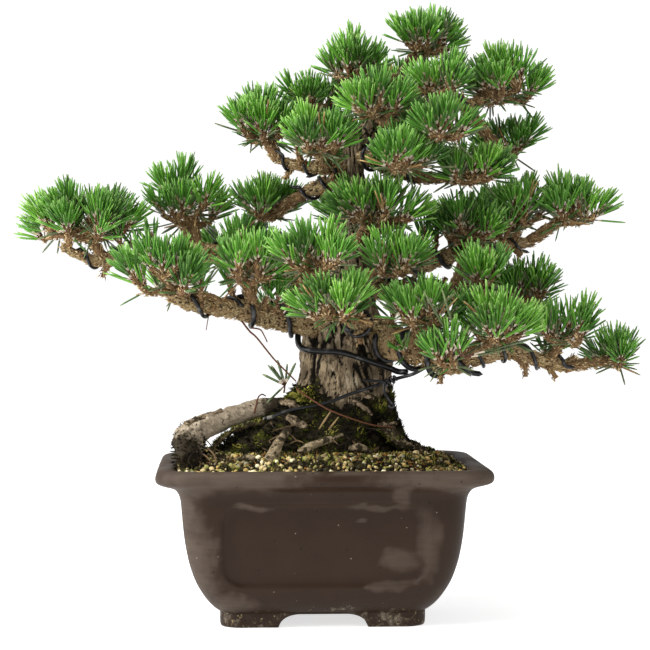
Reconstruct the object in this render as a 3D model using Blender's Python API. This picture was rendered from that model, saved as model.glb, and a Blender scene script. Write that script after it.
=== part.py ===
"""Kotobuki Japanese black pine bonsai in an unglazed rectangular pot.

A short heavy trunk flares into mossy surface roots, one of which arches out to the left over the soil.
The trunk bends up through the crown, and wired boughs carry flat pads of short-needled tufts.

Lengths in the tables are millimetres in plant coordinates: +X to the viewer's right, +Y away from the
viewer, +Z up, and zero on the table under the pot's centre. An empty then carries the whole plant, so that
the world's origin lies below the centre of its outer box.
"""

import math
import random

import bmesh
import bpy
from mathutils import Matrix, Vector

for leftover in list(bpy.data.objects):
    bpy.data.objects.remove(leftover)

MM = 0.001
CLEARANCE = 0.3  # gap between a piece and the piece that carries it

# Pot
POT_LENGTH = 200.0
POT_DEPTH = 155.0
FOOT_HEIGHT = 9.0
FOOT_WIDTH = 13.0
CORNER_RADIUS = 21.0
CORNER_STEPS = 4
CORNER_LOSS = 0.25  # how much tighter the corner gets for each millimetre further in
TIGHTEST_CORNER = 8.0
# Height of each level of the pot's outside, and how far it stands in from the rim's widest line
POT_OUTSIDE = (
    (9.0, 38.0), (14.0, 32.3), (22.0, 26.6), (31.0, 22.4), (45.0, 18.6), (62.0, 16.4),
    (78.0, 14.8), (84.0, 12.0), (86.5, 6.5), (88.0, 1.8), (91.5, 0.0), (95.0, 1.4), (96.5, 4.0),
)
# The same down the inside, from the rim's inner edge to the floor
POT_INSIDE = (
    (96.0, 10.5), (88.0, 17.0), (80.0, 22.5), (60.0, 24.0), (40.0, 27.5), (25.0, 34.0), (17.0, 44.0),
)
ARCH_SHARE = 0.43  # width of the arch between two feet, as a share of the foot ring's side
ARCH_STEPS = 4
ARCH_FLANK = 0.24  # share of the arch's width that each sloping flank takes
ARCH_HEIGHT_SHARE = 0.97
BELOW_TABLE = 2.0  # how far the cutters reach below the feet
FOOT_ROOT = 1.5  # how far the feet reach up into the belly
DRAIN_RADIUS = 8.0
DRAIN_OFFSET = 24.0
DRAIN_SIDES = 12
DRAIN_CUT_HEIGHT = 30.0
PANEL_SINK = 1.3
PANEL_MARGIN = 41.0  # from the rim's widest line to the sunken panel's side
PANEL_LEVELS = (28.0, 75.0)
PANEL_BODY = POT_OUTSIDE[1:-5]  # the levels of the belly that the panel follows
PANEL_RADIUS = 11.0

# Soil
SOIL_EDGE_HEIGHT = 94.5
SOIL_TOP_HEIGHT = 103.0
SOIL_LEVELS = (17.4, 25.0, 40.0, 60.0, 80.0, 88.0, SOIL_EDGE_HEIGHT)
MOUND_CENTRE = (-4.0, -2.0)
MOUND_RADII = (72.0, 52.0)
MOUND_STEPS = (0.3, 0.62, 1.0)
ROOT_GAP = 0.4  # between the soil and a root that comes down to it

# Trunk: height, left edge, right edge, front edge, back edge of each section up to the lowest boughs
TRUNK_FLARE = (
    (SOIL_TOP_HEIGHT + CLEARANCE, -62.0, 53.0, -41.0, 36.0),
    (111.0, -56.0, 50.5, -38.0, 33.0),
    (121.0, -43.0, 48.5, -34.0, 30.0),
    (131.0, -27.0, 46.5, -30.0, 28.0),
    (142.0, -16.5, 45.5, -27.5, 26.5),
    (153.0, -13.5, 45.0, -26.0, 26.0),
    (164.0, -12.5, 46.0, -25.0, 25.5),
    (174.0, -12.0, 43.5, -24.0, 25.0),
    (184.0, -10.5, 38.5, -22.0, 24.0),
)
# Then the centre and radius of each round section as it bends up through the crown
TRUNK_STEM = (
    (14.0, 2.0, 197.0, 21.0), (16.0, 3.0, 210.0, 17.5), (19.0, 4.0, 224.0, 14.5), (21.5, 5.0, 240.0, 12.0),
    (21.0, 4.0, 260.0, 9.8), (18.5, 2.0, 277.0, 8.2), (22.0, 0.0, 292.0, 7.0), (34.0, -2.0, 307.0, 5.8),
    (45.0, -4.0, 322.0, 4.6), (51.0, -5.0, 336.0, 3.4), (55.0, -7.0, 343.0, 2.8),
)
TRUNK_SIDES = 14
FLARE_LOBES = 5
FLARE_LOBE_SHARE = 0.10
FLARE_LOBE_HEIGHT = 60.0
FLARE_LOBE_TURN = 0.6
# Surface roots that grow out of the flare: centre line and radii
FLARE_ROOTS = (
    (((-12, -22, 123), (-20, -37, 119), (-26, -47, 115), (-32, -58, 97)), (6.0, 5.0, 4.4, 3.6)),
    (((24, -20, 122), (10, -41, 117), (-10, -46, 112), (-24, -52, 99)), (5.5, 4.6, 4.2, 3.4)),
    (((34, 0, 118), (50, 3, 109), (66, 6, 97)), (8.0, 6.5, 4.0)),
    (((4, 18, 122), (-6, 38, 108), (-14, 56, 92)), (8.0, 6.5, 4.5)),
    (((30, 18, 120), (40, 36, 107), (47, 52, 92)), (7.0, 6.0, 4.5)),
)
# The thick bare root that leaves the flare on the left and comes down by the pot's wall
ARCHING_ROOT = (
    (-20, -6, 131), (-34, -9, 131.5), (-47, -13, 129.5), (-60, -18, 124.5),
    (-71, -24, 118), (-77.5, -29, 108), (-78, -31, 94),
)
ARCHING_ROOT_RADII = (6.5, 6.3, 6.3, 6.6, 7.4, 8.8, 9.4)

# Boughs: what each grows from, its centre line and its radius at both ends
BOUGHS = {
    "bough_left_low": (
        "trunk",
        ((6, -6, 181), (-12, -18, 183), (-30, -26, 186), (-44, -34, 189), (-54, -40, 192)),
        (9.0, 5.4),
    ),
    "bough_far_left": (
        "trunk", ((10, 3, 203), (-8, 10, 206), (-31, 18, 212), (-60, 22, 223), (-86, 20, 228)), (7.5, 5.0)
    ),
    "bough_far_left_tip": (
        "bough_far_left", ((-84, 20, 228), (-98, 17, 224), (-112, 14, 222), (-136, 9, 221)), (4.8, 3.4)
    ),
    "bough_right_low": (
        "trunk", ((28, -8, 176), (40, -16, 172), (50, -25, 167), (62, -36, 164)), (12.0, 8.2)
    ),
    "bough_right_middle": (
        "bough_right_low", ((60, -35, 164), (68, -40, 160), (77, -44, 158), (87, -46, 161)), (7.6, 6.0)
    ),
    "bough_right_tip": (
        "bough_right_middle",
        ((85, -46, 161), (99, -42, 164), (112, -36, 165), (134, -27, 159), (150, -20, 155)),
        (5.6, 3.6),
    ),
    "bough_centre_low": ("trunk", ((20, -10, 180), (21, -36, 182), (17, -52, 185)), (8.0, 5.0)),
    "bough_centre_left": ("trunk", ((8, -4, 202), (-2, -26, 203), (-8, -46, 206)), (5.8, 4.0)),
    "bough_right_middle_tier": (
        "trunk", ((24, 2, 219), (50, -4, 218), (72, -9, 221), (88, -10, 226)), (6.8, 4.2)
    ),
    "bough_right_middle_tip": (
        "bough_right_middle_tier", ((86, -10, 226), (100, -5, 227), (116, 1, 229), (132, 5, 232)), (3.9, 2.8)
    ),
    "bough_right_back": ("trunk", ((22, 6, 203), (46, 16, 202), (72, 24, 201), (104, 30, 199)), (7.0, 4.2)),
    "bough_left_back": (
        "trunk", ((10, 10, 196), (-2, 32, 201), (-18, 46, 207), (-33, 52, 213)), (7.0, 4.4)
    ),
    "bough_middle_left": ("trunk", ((20, 3, 268), (4, 7, 267), (-12, 18, 261)), (5.2, 3.6)),
    "bough_upper_left": ("trunk", ((19, 1, 278), (8, -4, 277), (-3, -8, 277)), (5.0, 3.6)),
    "bough_upper_left_tip": (
        "bough_upper_left", ((-1, -7, 277), (-14, -5, 278), (-28, 0, 283)), (3.3, 2.6)
    ),
    "bough_upper_right_low": ("trunk", ((20, 0, 286), (38, -12, 278), (58, -18, 269)), (4.8, 3.2)),
    "bough_upper_right": ("trunk", ((34, -2, 309), (54, -1, 312), (78, 1, 316), (98, 3, 318)), (4.2, 2.8)),
}
BOUGH_STEP = 10.0
TUBE_BEVEL = 1

# Pads of foliage: what carries each, its foot there, the centre and radii of its space, and its tufts
PADS = {
    "pad_far_left": ("bough_far_left_tip", (-134, 9, 221), (-146, 8, 246), (45, 36, 23), 8),
    "pad_left_middle": ("bough_far_left", (-75, 20.8, 226), (-82, 30, 258), (28, 31, 30), 5),
    "pad_left_low_tip": ("bough_left_low", (-52, -39, 191), (-94, -55, 213), (32, 30, 27), 5),
    "pad_left_low_inner": ("bough_left_low", (-42, -33, 188.5), (-46, -61, 220), (21, 28, 24), 4),
    "pad_left_back": ("bough_left_back", (-31, 51, 212), (-54, 73, 231), (33, 32, 23), 5),
    "pad_centre_left": ("bough_centre_left", (-7, -44, 206), (-8, -85, 225), (23, 28, 22), 4),
    "pad_centre_low": ("bough_centre_low", (18, -50, 185), (8, -93, 196), (24, 24, 18), 4),
    "pad_centre_right": ("trunk", (24, -2, 206), (41, -56, 222), (28, 25, 19), 4),
    "pad_centre_right_low": ("bough_right_low", (56, -30, 165.5), (55, -78, 194), (20, 24, 25), 4),
    "pad_front_right_low": ("bough_right_middle", (70, -41, 159), (70, -90, 168), (14, 17, 15), 2),
    "pad_middle_centre": ("trunk", (18, 2, 226), (33, -37, 253), (30, 26, 19), 5),
    "pad_middle_left": ("bough_middle_left", (-10, 16, 262), (-34, 37, 258), (24, 28, 21), 4),
    "pad_middle_back": ("trunk", (22, 8, 236), (26, 71, 251), (33, 31, 23), 5),
    "pad_right_middle_inner": ("bough_right_middle_tier", (84, -9, 225), (89, -16, 243), (22, 26, 21), 4),
    "pad_right_middle": ("bough_right_middle_tip", (118, 1.5, 229), (126, 9, 255), (19, 28, 25), 4),
    "pad_right_middle_tip": ("bough_right_middle_tip", (130, 5, 231.5), (157, 5, 256), (20, 25, 23), 4),
    "pad_right_middle_back": ("bough_right_back", (85, 26, 200), (108, 78, 247), (32, 28, 23), 5),
    "pad_right_low_inner": ("bough_right_middle_tier", (84, -9, 225), (92, -56, 214), (18, 21, 18), 3),
    "pad_right_low_upper": ("bough_right_back", (94, 28, 199.5), (129, 6, 205), (23, 26, 18), 4),
    "pad_right_low_front": ("bough_right_middle", (80, -45, 159), (98, -83, 184), (25, 25, 24), 5),
    "pad_right_low_outer": ("bough_right_tip", (138, -25, 158), (148, -24, 181), (22, 29, 23), 4),
    "pad_right_low_tip": ("bough_right_tip", (148, -21, 155.4), (182, -14, 165), (16, 21, 16), 3),
    "pad_right_low_back": ("bough_right_back", (102, 29, 199), (134, 76, 196), (34, 29, 21), 5),
    "pad_apex": ("trunk", (54, -6, 341), (62, -10, 357), (23, 28, 19), 4),
    "pad_top_left": ("trunk", (48, -4, 330), (19, -5, 342), (23, 28, 22), 4),
    "pad_top_front": ("trunk", (38, -3, 312), (31, -54, 315), (22, 23, 19), 4),
    "pad_top_right": ("trunk", (42, -4, 318), (68, -41, 329), (20, 25, 18), 4),
    "pad_upper_front": ("trunk", (34, -2, 307), (69, -59, 301), (21, 23, 18), 4),
    "pad_upper_front_low": ("bough_upper_right_low", (47, -14.5, 273.5), (44, -61, 283), (23, 23, 18), 4),
    "pad_upper_right_low": ("bough_upper_right_low", (56, -17, 270), (88, -32, 276), (25, 25, 16), 4),
    "pad_upper_right": ("bough_upper_right", (96, 3, 318), (116, 5, 332), (28, 32, 28), 6),
    "pad_upper_right_under": ("bough_upper_right", (87, 2, 317), (121, 24, 295), (23, 28, 14), 3),
    "pad_upper_left": ("bough_upper_left_tip", (-26, 0, 282), (-36, 0, 306), (24, 29, 25), 5),
    "pad_upper_left_back": ("bough_upper_left", (10, -3.5, 277), (-4, 18, 322), (22, 25, 16), 4),
    "pad_upper_left_front": ("bough_upper_left", (4, -5.5, 277), (-3, -44, 294), (21, 24, 21), 4),
    "pad_top_back": ("trunk", (46, -4, 324), (54, 63, 331), (35, 32, 26), 6),
    "pad_upper_back": ("trunk", (18, 2, 277), (14, 71, 298), (35, 30, 23), 5),
}

# Tufts: a neck that opens into a star of teeth round a tall middle spike
TEETH = 6
TOOTH_LEAN = 50.0  # degrees from the tuft's own line
TOOTH_LENGTH = 24.0
NOTCH_LEAN = 36.0
NOTCH_LENGTH = 10.5
LEAN_SPREAD = 6.0  # degrees either way
LENGTH_SPREAD = (0.9, 1.05)
SPIKE_LENGTH = 25.0
SHRINKS = (1.0, 0.84, 0.68, 0.52, 0.38)  # a tooth without room is tried shorter
BODY_LENGTH = 11.0
BODY_RADIUS = 5.5
TOOTH_RADIUS = 2.2  # space kept round a tooth, a neck and a tip
NECK_SPACE = 2.3
TIP_RADIUS = 0.5
NECK_SIDES = 3
NECK_RADIUS = 1.7
STEM_RADII = (2.4, 1.8)  # at the pad's foot and at its hub
STEM_SIDES = 5
HUB_DROP = 0.42  # share of the space's height that the hub lies below its middle
HUB_SHIFT = 0.22  # share of the way from there back towards the foot
FORKS = (0.98, 0.26)  # place of the first fork along the stem, and the length that carries forks
GOLDEN_TURN = math.radians(137.50776)
GROWTH_SEED = 82
PAD_TILT = math.radians(88.0)  # how far round its space's top the outermost tuft ends
FEET_SPREAD = 0.6  # as shares of a space's radii
FEET_DROP = 0.32
PAD_MARGIN = 0.04  # share of a pad's radius kept free towards its neighbour
PAD_WIDTH_SHARE = 0.03  # and as much more for each millimetre of a bit's own radius
LIMB_MARGIN = 1.0  # free space between foliage and a limb
TWIG_REACH = 1.3  # how far outside its space a twig and a tooth may go
TOOTH_REACH = 1.1

# Training wires: where each crosses the trunk's front, as distance across and height, then where it ends
TRUNK_WIRE_RADIUS = 1.8
TRUNK_WIRE_GAP = 0.7
TRUNK_WIRE_ROUTE = (
    (-13, 171), (-12, 167.5), (-8, 165.5), (0, 165), (10, 164.5), (21, 161.5), (31, 158), (40, 155)
)
TRUNK_WIRE_END = ((46, -22, 152.5), (51, -25, 152.5))
GUY_WIRE_RADIUS = 1.0
GUY_WIRE_GAP = 1.2
GUY_WIRE_ROUTE = (
    (-28, 127.5), (-21, 130), (-11, 132), (-2, 133.5), (7, 136), (16, 139.5), (29, 143.5), (38, 146.5)
)
GUY_WIRE_END = ((46, -27, 149), (54, -33, 151))
WIRE_STEP = 8.0
WIDEST_WIRE_PLACE = 0.97  # share of the trunk's half width that a wire may reach on its front

SHARP_ANGLE = math.radians(35)

MATERIALS = {
    "pot_clay": ((0.075, 0.053, 0.043), 0.42, 0.0),
    "soil": ((0.10, 0.085, 0.045), 0.95, 0.0),
    "bark": ((0.16, 0.115, 0.07), 0.9, 0.0),
    "root_bark": ((0.40, 0.34, 0.27), 0.85, 0.0),
    "needles": ((0.055, 0.20, 0.022), 0.5, 0.0),
    "wire": ((0.02, 0.02, 0.022), 0.4, 0.8),
}


def material(name):
    """The named finish, made on first use."""
    if name in bpy.data.materials:
        return bpy.data.materials[name]
    colour, roughness, metallic = MATERIALS[name]
    made = bpy.data.materials.new(name)
    made.use_nodes = True
    shader = made.node_tree.nodes["Principled BSDF"]
    shader.inputs["Base Color"].default_value = (*colour, 1.0)
    shader.inputs["Roughness"].default_value = roughness
    shader.inputs["Metallic"].default_value = metallic
    return made


def new_collection(name):
    made = bpy.data.collections.new(name)
    bpy.context.scene.collection.children.link(made)
    return made


PARTS = new_collection("kotobuki_pine_bonsai")
HELPERS = new_collection("helpers")


def mesh_object(name, bm, collection, finish=None):
    """Turns a bmesh in millimetres into an object in metres."""
    bm.transform(Matrix.Scale(MM, 4))
    mesh = bpy.data.meshes.new(name)
    bm.to_mesh(mesh)
    bm.free()
    if finish:
        mesh.materials.append(material(finish))
    made = bpy.data.objects.new(name, mesh)
    collection.objects.link(made)
    return made


def bake(thing):
    """The object's evaluated mesh, with its modifiers applied."""
    graph = bpy.context.evaluated_depsgraph_get()
    return bpy.data.meshes.new_from_object(thing.evaluated_get(graph))


def body_from(seed):
    """All faces joined to the first one across edges."""
    found = {seed}
    ends = [seed]
    while ends:
        for edge in ends.pop().edges:
            for face in edge.link_faces:
                if face not in found:
                    found.add(face)
                    ends.append(face)
    return found


def drop_scraps(mesh):
    """Keeps only the largest body of a mesh that a cut has left in several."""
    bm = bmesh.new()
    bm.from_mesh(mesh)
    left = set(bm.faces)
    bodies = []
    while left:
        body = body_from(next(iter(left)))
        bodies.append(body)
        left -= body
    bodies.sort(key=len)
    for body in bodies[:-1]:
        bmesh.ops.delete(bm, geom=list(body), context="FACES")
    bm.to_mesh(mesh)
    bm.free()


def combine(thing, others, operation, solver="EXACT"):
    """Cuts the others from the thing, or joins them to it, and removes them."""
    group = new_collection("operands")
    for other in others:
        for owner in list(other.users_collection):
            owner.objects.unlink(other)
        group.objects.link(other)
    modifier = thing.modifiers.new(operation.lower(), "BOOLEAN")
    modifier.operation = operation
    modifier.solver = solver
    modifier.operand_type = "COLLECTION"
    modifier.collection = group
    mesh = bake(thing)
    drop_scraps(mesh)
    thing.modifiers.clear()
    thing.data = mesh
    for other in others:
        bpy.data.objects.remove(other)
    bpy.data.collections.remove(group)


def loft(name, rings, collection, finish=None):
    """A closed skin over rings that all have the same number of points, with flat ends."""
    bm = bmesh.new()
    rows = [[bm.verts.new(point) for point in ring] for ring in rings]
    count = len(rows[0])
    for low, high in zip(rows, rows[1:]):
        for i in range(count):
            j = (i + 1) % count
            bm.faces.new((low[i], low[j], high[j], high[i]))
    bm.faces.new(rows[0][::-1])
    bm.faces.new(rows[-1])
    bmesh.ops.recalc_face_normals(bm, faces=bm.faces)
    return mesh_object(name, bm, collection, finish)


def smooth_path(points, step):
    """Points every step or so along a smooth curve through the given ones, each with its place on them."""
    points = [Vector(point) for point in points]
    before = points[0] * 2 - points[1]
    after = points[-1] * 2 - points[-2]
    guide = [before, *points, after]
    found = []
    for i in range(1, len(guide) - 2):
        a, b, c, d = guide[i - 1:i + 3]
        count = max(1, round((c - b).length / step))
        for k in range(count):
            t = k / count
            bend = (2 * a - 5 * b + 4 * c - d) * t ** 2 + (3 * b - a - 3 * c + d) * t ** 3
            found.append((b + 0.5 * ((c - a) * t + bend), i - 1 + t))
    found.append((points[-1], len(points) - 1))
    return found


def radius_at(radii, place, last):
    """The radius at a place along a path whose points are numbered up to last."""
    at = place / last * (len(radii) - 1)
    low = min(int(at), len(radii) - 2)
    return radii[low] + (radii[low + 1] - radii[low]) * (at - low)


def tube(name, points, radii, collection, finish=None, extra=0.0, step=BOUGH_STEP):
    """A tapering round limb, root or wire along a smooth path, as one closed mesh."""
    path = smooth_path(points, step)
    if extra:
        (first, low), (second, _) = path[:2]
        (before, _), (last, high) = path[-2:]
        path.insert(0, (first + (first - second).normalized() * extra, low))
        path.append((last + (last - before).normalized() * extra, high))
    curve = bpy.data.curves.new(name, "CURVE")
    curve.dimensions = "3D"
    curve.bevel_depth = MM
    curve.bevel_resolution = TUBE_BEVEL
    curve.use_fill_caps = True
    spline = curve.splines.new("POLY")
    spline.points.add(len(path) - 1)
    for target, (place, along) in zip(spline.points, path):
        target.co = (*(place * MM), 1.0)
        target.radius = radius_at(radii, along, len(points) - 1) + extra
    guide = bpy.data.objects.new(name + "_curve", curve)
    collection.objects.link(guide)
    mesh = bake(guide)
    bm = bmesh.new()
    bm.from_mesh(mesh)
    bmesh.ops.remove_doubles(bm, verts=bm.verts, dist=0.00001)
    bm.to_mesh(mesh)
    bm.free()
    bpy.data.objects.remove(guide)
    if finish:
        mesh.materials.append(material(finish))
    made = bpy.data.objects.new(name, mesh)
    collection.objects.link(made)
    return made


def cone(start, end, start_radius, end_radius, sides, collection):
    """A tapering prism between two points, or a spike where the end radius is zero."""
    line = end - start
    bm = bmesh.new()
    bmesh.ops.create_cone(
        bm, cap_ends=True, segments=sides, radius1=start_radius, radius2=end_radius, depth=line.length
    )
    turned = line.to_track_quat("Z", "Y").to_matrix().to_4x4()
    bm.transform(Matrix.Translation((start + end) / 2) @ turned)
    return mesh_object("bit", bm, collection)


def rounded_rectangle(half_length, half_depth, radius, height):
    """One level of the pot: corner arcs joined by straight sides, anticlockwise from the right."""
    radius = min(radius, half_depth - 1.0)
    ring = []
    for quarter in range(4):
        sign_x = (1, -1, -1, 1)[quarter]
        sign_y = (1, 1, -1, -1)[quarter]
        for k in range(CORNER_STEPS + 1):
            turn = math.radians(90 * (quarter + k / CORNER_STEPS))
            x = sign_x * (half_length - radius) + radius * math.cos(turn)
            y = sign_y * (half_depth - radius) + radius * math.sin(turn)
            ring.append(Vector((x, y, height)))
    return ring


def pot_level(height, inset, extra=0.0):
    """The pot's outline at a height, standing in from the rim's widest line."""
    inset += extra
    radius = max(TIGHTEST_CORNER, CORNER_RADIUS - CORNER_LOSS * inset)
    return rounded_rectangle(POT_LENGTH / 2 - inset, POT_DEPTH / 2 - inset, radius, height)


def inside_inset(height):
    """How far the pot's inner wall stands in from the rim at a height."""
    for (high, outer), (low, inner) in zip(POT_INSIDE, POT_INSIDE[1:]):
        if height >= low:
            return outer + (inner - outer) * (high - height) / (high - low)
    return POT_INSIDE[-1][1]


def arch_cutter(width, along_x):
    """The space between two feet: flat above, with flanks that sweep down and out."""
    outline = [(-width / 2, -BELOW_TABLE)]
    for k in range(ARCH_STEPS + 1):
        share = k / ARCH_STEPS
        rise = 0.5 - 0.5 * math.cos(math.pi * share)
        outline.append((-width * (0.5 - ARCH_FLANK * share), FOOT_HEIGHT * ARCH_HEIGHT_SHARE * rise))
    outline += [(-x, z) for x, z in reversed(outline)]
    rings = []
    for side in (-POT_LENGTH, POT_LENGTH):
        rings.append([Vector((side, x, z)) if along_x else Vector((x, side, z)) for x, z in outline])
    return loft("arch", rings, HELPERS)


def panel_cutter(width, along_x, side):
    """A block with the sunken panel's outline that reaches through one wall of the pot."""
    low, high = PANEL_LEVELS
    face = rounded_rectangle(width / 2, (high - low) / 2, PANEL_RADIUS, 0.0)
    reach = (POT_LENGTH if along_x else POT_DEPTH) / 2
    rings = []
    for depth in (reach * 0.5, reach * 1.2):
        ring = []
        for point in face:
            height = point.y + (low + high) / 2
            place = (side * depth, point.x, height) if along_x else (point.x, side * depth, height)
            ring.append(Vector(place))
        rings.append(ring)
    cutter = loft("panel", rings, HELPERS)
    inner = loft("panel_floor", [pot_level(z, inset, PANEL_SINK) for z, inset in PANEL_BODY], HELPERS)
    combine(cutter, [inner], "DIFFERENCE")
    return cutter


def make_pot():
    """Thick clay: a flared lip, a belly that draws in to four feet, and a sunken panel in each wall."""
    outside = [pot_level(z, inset) for z, inset in POT_OUTSIDE]
    inside = [pot_level(z, inset) for z, inset in POT_INSIDE]
    pot = loft("pot", outside + inside, PARTS, "pot_clay")
    inset = POT_OUTSIDE[0][1]
    inner = inset + FOOT_WIDTH
    foot = loft("foot", [pot_level(z, inset) for z in (0.0, FOOT_HEIGHT + FOOT_ROOT)], HELPERS)
    hollow = loft("foot_hollow", [pot_level(z, inner) for z in (-BELOW_TABLE, FOOT_HEIGHT)], HELPERS)
    ring_length = POT_LENGTH - 2 * inset
    ring_depth = POT_DEPTH - 2 * inset
    arches = [arch_cutter(ring_length * ARCH_SHARE, False), arch_cutter(ring_depth * ARCH_SHARE, True)]
    combine(foot, [hollow], "DIFFERENCE")
    combine(foot, arches, "DIFFERENCE")
    combine(pot, [foot], "UNION")
    cuts = []
    for side in (-1, 1):
        cuts.append(panel_cutter(POT_LENGTH - 2 * PANEL_MARGIN, False, side))
        cuts.append(panel_cutter(POT_DEPTH - 2 * PANEL_MARGIN, True, side))
        low = Vector((side * DRAIN_OFFSET, 0, 0))
        high = low + Vector((0, 0, DRAIN_CUT_HEIGHT))
        cuts.append(cone(low, high, DRAIN_RADIUS, DRAIN_RADIUS, DRAIN_SIDES, HELPERS))
    combine(pot, cuts, "DIFFERENCE")


def soil_rings(raised=0.0):
    """The potting grit: it fills the pot and rises to a level top under the trunk."""
    rings = []
    for height in SOIL_LEVELS:
        rings.append(pot_level(height, inside_inset(height) + CLEARANCE))
    rings[-1] = [point + Vector((0, 0, raised)) for point in rings[-1]]
    edge = pot_level(SOIL_EDGE_HEIGHT, inside_inset(SOIL_EDGE_HEIGHT) + CLEARANCE)
    for share in MOUND_STEPS:
        ring = []
        for point in edge:
            turn = math.atan2(point.y / MOUND_RADII[1], point.x / MOUND_RADII[0])
            top_x = MOUND_CENTRE[0] + MOUND_RADII[0] * math.cos(turn)
            top_y = MOUND_CENTRE[1] + MOUND_RADII[1] * math.sin(turn)
            place = point.lerp(Vector((top_x, top_y, 0)), share)
            rise = 0.5 - 0.5 * math.cos(math.pi * share)
            place.z = SOIL_EDGE_HEIGHT + (SOIL_TOP_HEIGHT - SOIL_EDGE_HEIGHT) * rise + raised
            ring.append(place)
        rings.append(ring)
    return rings


def flare_section(height):
    """Middle and half widths of the flared trunk's section at a height."""
    for low, high in zip(TRUNK_FLARE, TRUNK_FLARE[1:]):
        if height <= high[0]:
            break
    share = (height - low[0]) / (high[0] - low[0])
    left, right, front, back = [a + (b - a) * share for a, b in zip(low[1:], high[1:])]
    middle = Vector(((left + right) / 2, (front + back) / 2, height))
    return middle, (right - left) / 2, (back - front) / 2


def flare_swell(turn, height):
    """How far the roots under the bark push a section out at a turn."""
    fade = max(0.0, 1 - (height - SOIL_TOP_HEIGHT) / FLARE_LOBE_HEIGHT)
    return 1 + FLARE_LOBE_SHARE * fade * math.cos(FLARE_LOBES * turn + FLARE_LOBE_TURN)


def trunk_rings(extra=0.0):
    """Every section of the trunk, from the flat cut on the soil to the tip."""
    rings = []
    turns = [2 * math.pi * k / TRUNK_SIDES for k in range(TRUNK_SIDES)]
    for height, *_ in TRUNK_FLARE:
        middle, half_width, half_depth = flare_section(height)
        ring = []
        for turn in turns:
            out = Vector(((half_width + extra) * math.cos(turn), (half_depth + extra) * math.sin(turn), 0))
            ring.append(middle + flare_swell(turn, height) * out)
        rings.append(ring)
    centres = [Vector(section[:3]) for section in TRUNK_STEM]
    for i, (centre, section) in enumerate(zip(centres, TRUNK_STEM)):
        line = centres[min(i + 1, len(centres) - 1)] - centres[max(i - 1, 0)]
        across = Vector((0, 1, 0)).cross(line).normalized()
        forward = line.cross(across).normalized()
        across *= section[3] + extra
        forward *= section[3] + extra
        rings.append([centre + across * math.cos(turn) + forward * math.sin(turn) for turn in turns])
    if extra:
        rings.insert(0, [point - Vector((0, 0, extra)) for point in rings[0]])
        tip = (centres[-1] - centres[-2]).normalized() * extra
        rings.append([point + tip for point in rings[-1]])
    return rings


def front_of_trunk(x, height, off):
    """The point that lies off the trunk's front at a place across it and a height."""
    middle, half_width, half_depth = flare_section(height)
    share = (x - middle.x) / (half_width + off)
    turn = -math.acos(max(-WIDEST_WIRE_PLACE, min(WIDEST_WIRE_PLACE, share)))
    reach = half_depth * flare_swell(turn, height) + off
    return Vector((x, middle.y + reach * math.sin(turn), height))


def make_ground_and_roots():
    """Soil, the arching root seated on it, and the surface roots that become one with the trunk's flare."""
    loft("soil", soil_rings(), PARTS, "soil")
    trunk = loft("trunk", trunk_rings(), PARTS, "bark")
    roots = [tube("root", points, radii, HELPERS) for points, radii in FLARE_ROOTS]
    arching = tube("root_arching", ARCHING_ROOT, ARCHING_ROOT_RADII, PARTS, "root_bark")
    for root in [*roots, arching]:
        combine(root, [loft("raised_soil", soil_rings(ROOT_GAP), HELPERS)], "DIFFERENCE")
    combine(trunk, roots, "UNION")
    combine(arching, [loft("thick_trunk", trunk_rings(CLEARANCE), HELPERS)], "DIFFERENCE")


def carrier_cutter(carrier):
    """The limb that carries another one, a clearance thicker, to cut the seat with."""
    if carrier == "trunk":
        return loft("thick_trunk", trunk_rings(CLEARANCE), HELPERS)
    _, points, radii = BOUGHS[carrier]
    return tube("thick_bough", points, radii, HELPERS, extra=CLEARANCE)


def seat_cutters(carrier, before=None):
    """Cutters for the carrier and for the boughs that already grow from it."""
    cutters = [carrier_cutter(carrier)]
    for name, (shared, _, _) in BOUGHS.items():
        if name == before:
            break
        if shared == carrier:
            cutters.append(carrier_cutter(name))
    return cutters


def make_boughs():
    """Each bough is one tapering limb, seated against its trunk or bough in a close saddle."""
    for name, (carrier, points, radii) in BOUGHS.items():
        bough = tube(name, points, radii, PARTS, "bark")
        combine(bough, seat_cutters(carrier, name), "DIFFERENCE")


def pad_hub(foot, centre, radii):
    """Where a pad's stem divides: low in its space, drawn towards the foot."""
    low = centre - Vector((0, 0, HUB_DROP * radii.z))
    aside = foot - low
    aside.z = 0.0
    return low + aside * HUB_SHIFT


def limb_segments():
    """Every limb as short straight pieces: name of the limb, both ends, and the radius."""
    pieces = []
    centres = []
    for height, *_ in TRUNK_FLARE:
        middle, half_width, half_depth = flare_section(height)
        centres.append((middle, max(half_width, half_depth)))
    centres += [(Vector(section[:3]), section[3]) for section in TRUNK_STEM]
    for (a, wide), (b, narrow) in zip(centres, centres[1:]):
        pieces.append(("trunk", a, b, max(wide, narrow)))
    for name, (_, points, radii) in BOUGHS.items():
        path = smooth_path(points, BOUGH_STEP)
        for (a, along), (b, _) in zip(path, path[1:]):
            pieces.append((name, a, b, radius_at(radii, along, len(points) - 1)))
    for name, (_, foot, centre, radii, _) in PADS.items():
        hub = pad_hub(Vector(foot), Vector(centre), Vector(radii))
        pieces.append((name, Vector(foot), hub, STEM_RADII[0]))
    return pieces


def gap_between(a, b, c, d):
    """The shortest distance between the straight pieces a to b and c to d."""
    first, second, apart = b - a, d - c, a - c
    along_first, along_second = first.length_squared, second.length_squared
    both = first.dot(second)
    start_first, start_second = first.dot(apart), second.dot(apart)
    spread = along_first * along_second - both * both
    share = (both * start_second - start_first * along_second) / spread if spread > 1e-9 else 0.0
    share = max(0.0, min(1.0, share))
    other = max(0.0, min(1.0, (both * share + start_second) / along_second))
    share = max(0.0, min(1.0, (both * other - start_first) / along_first))
    return (a + first * share - c - second * other).length


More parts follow.
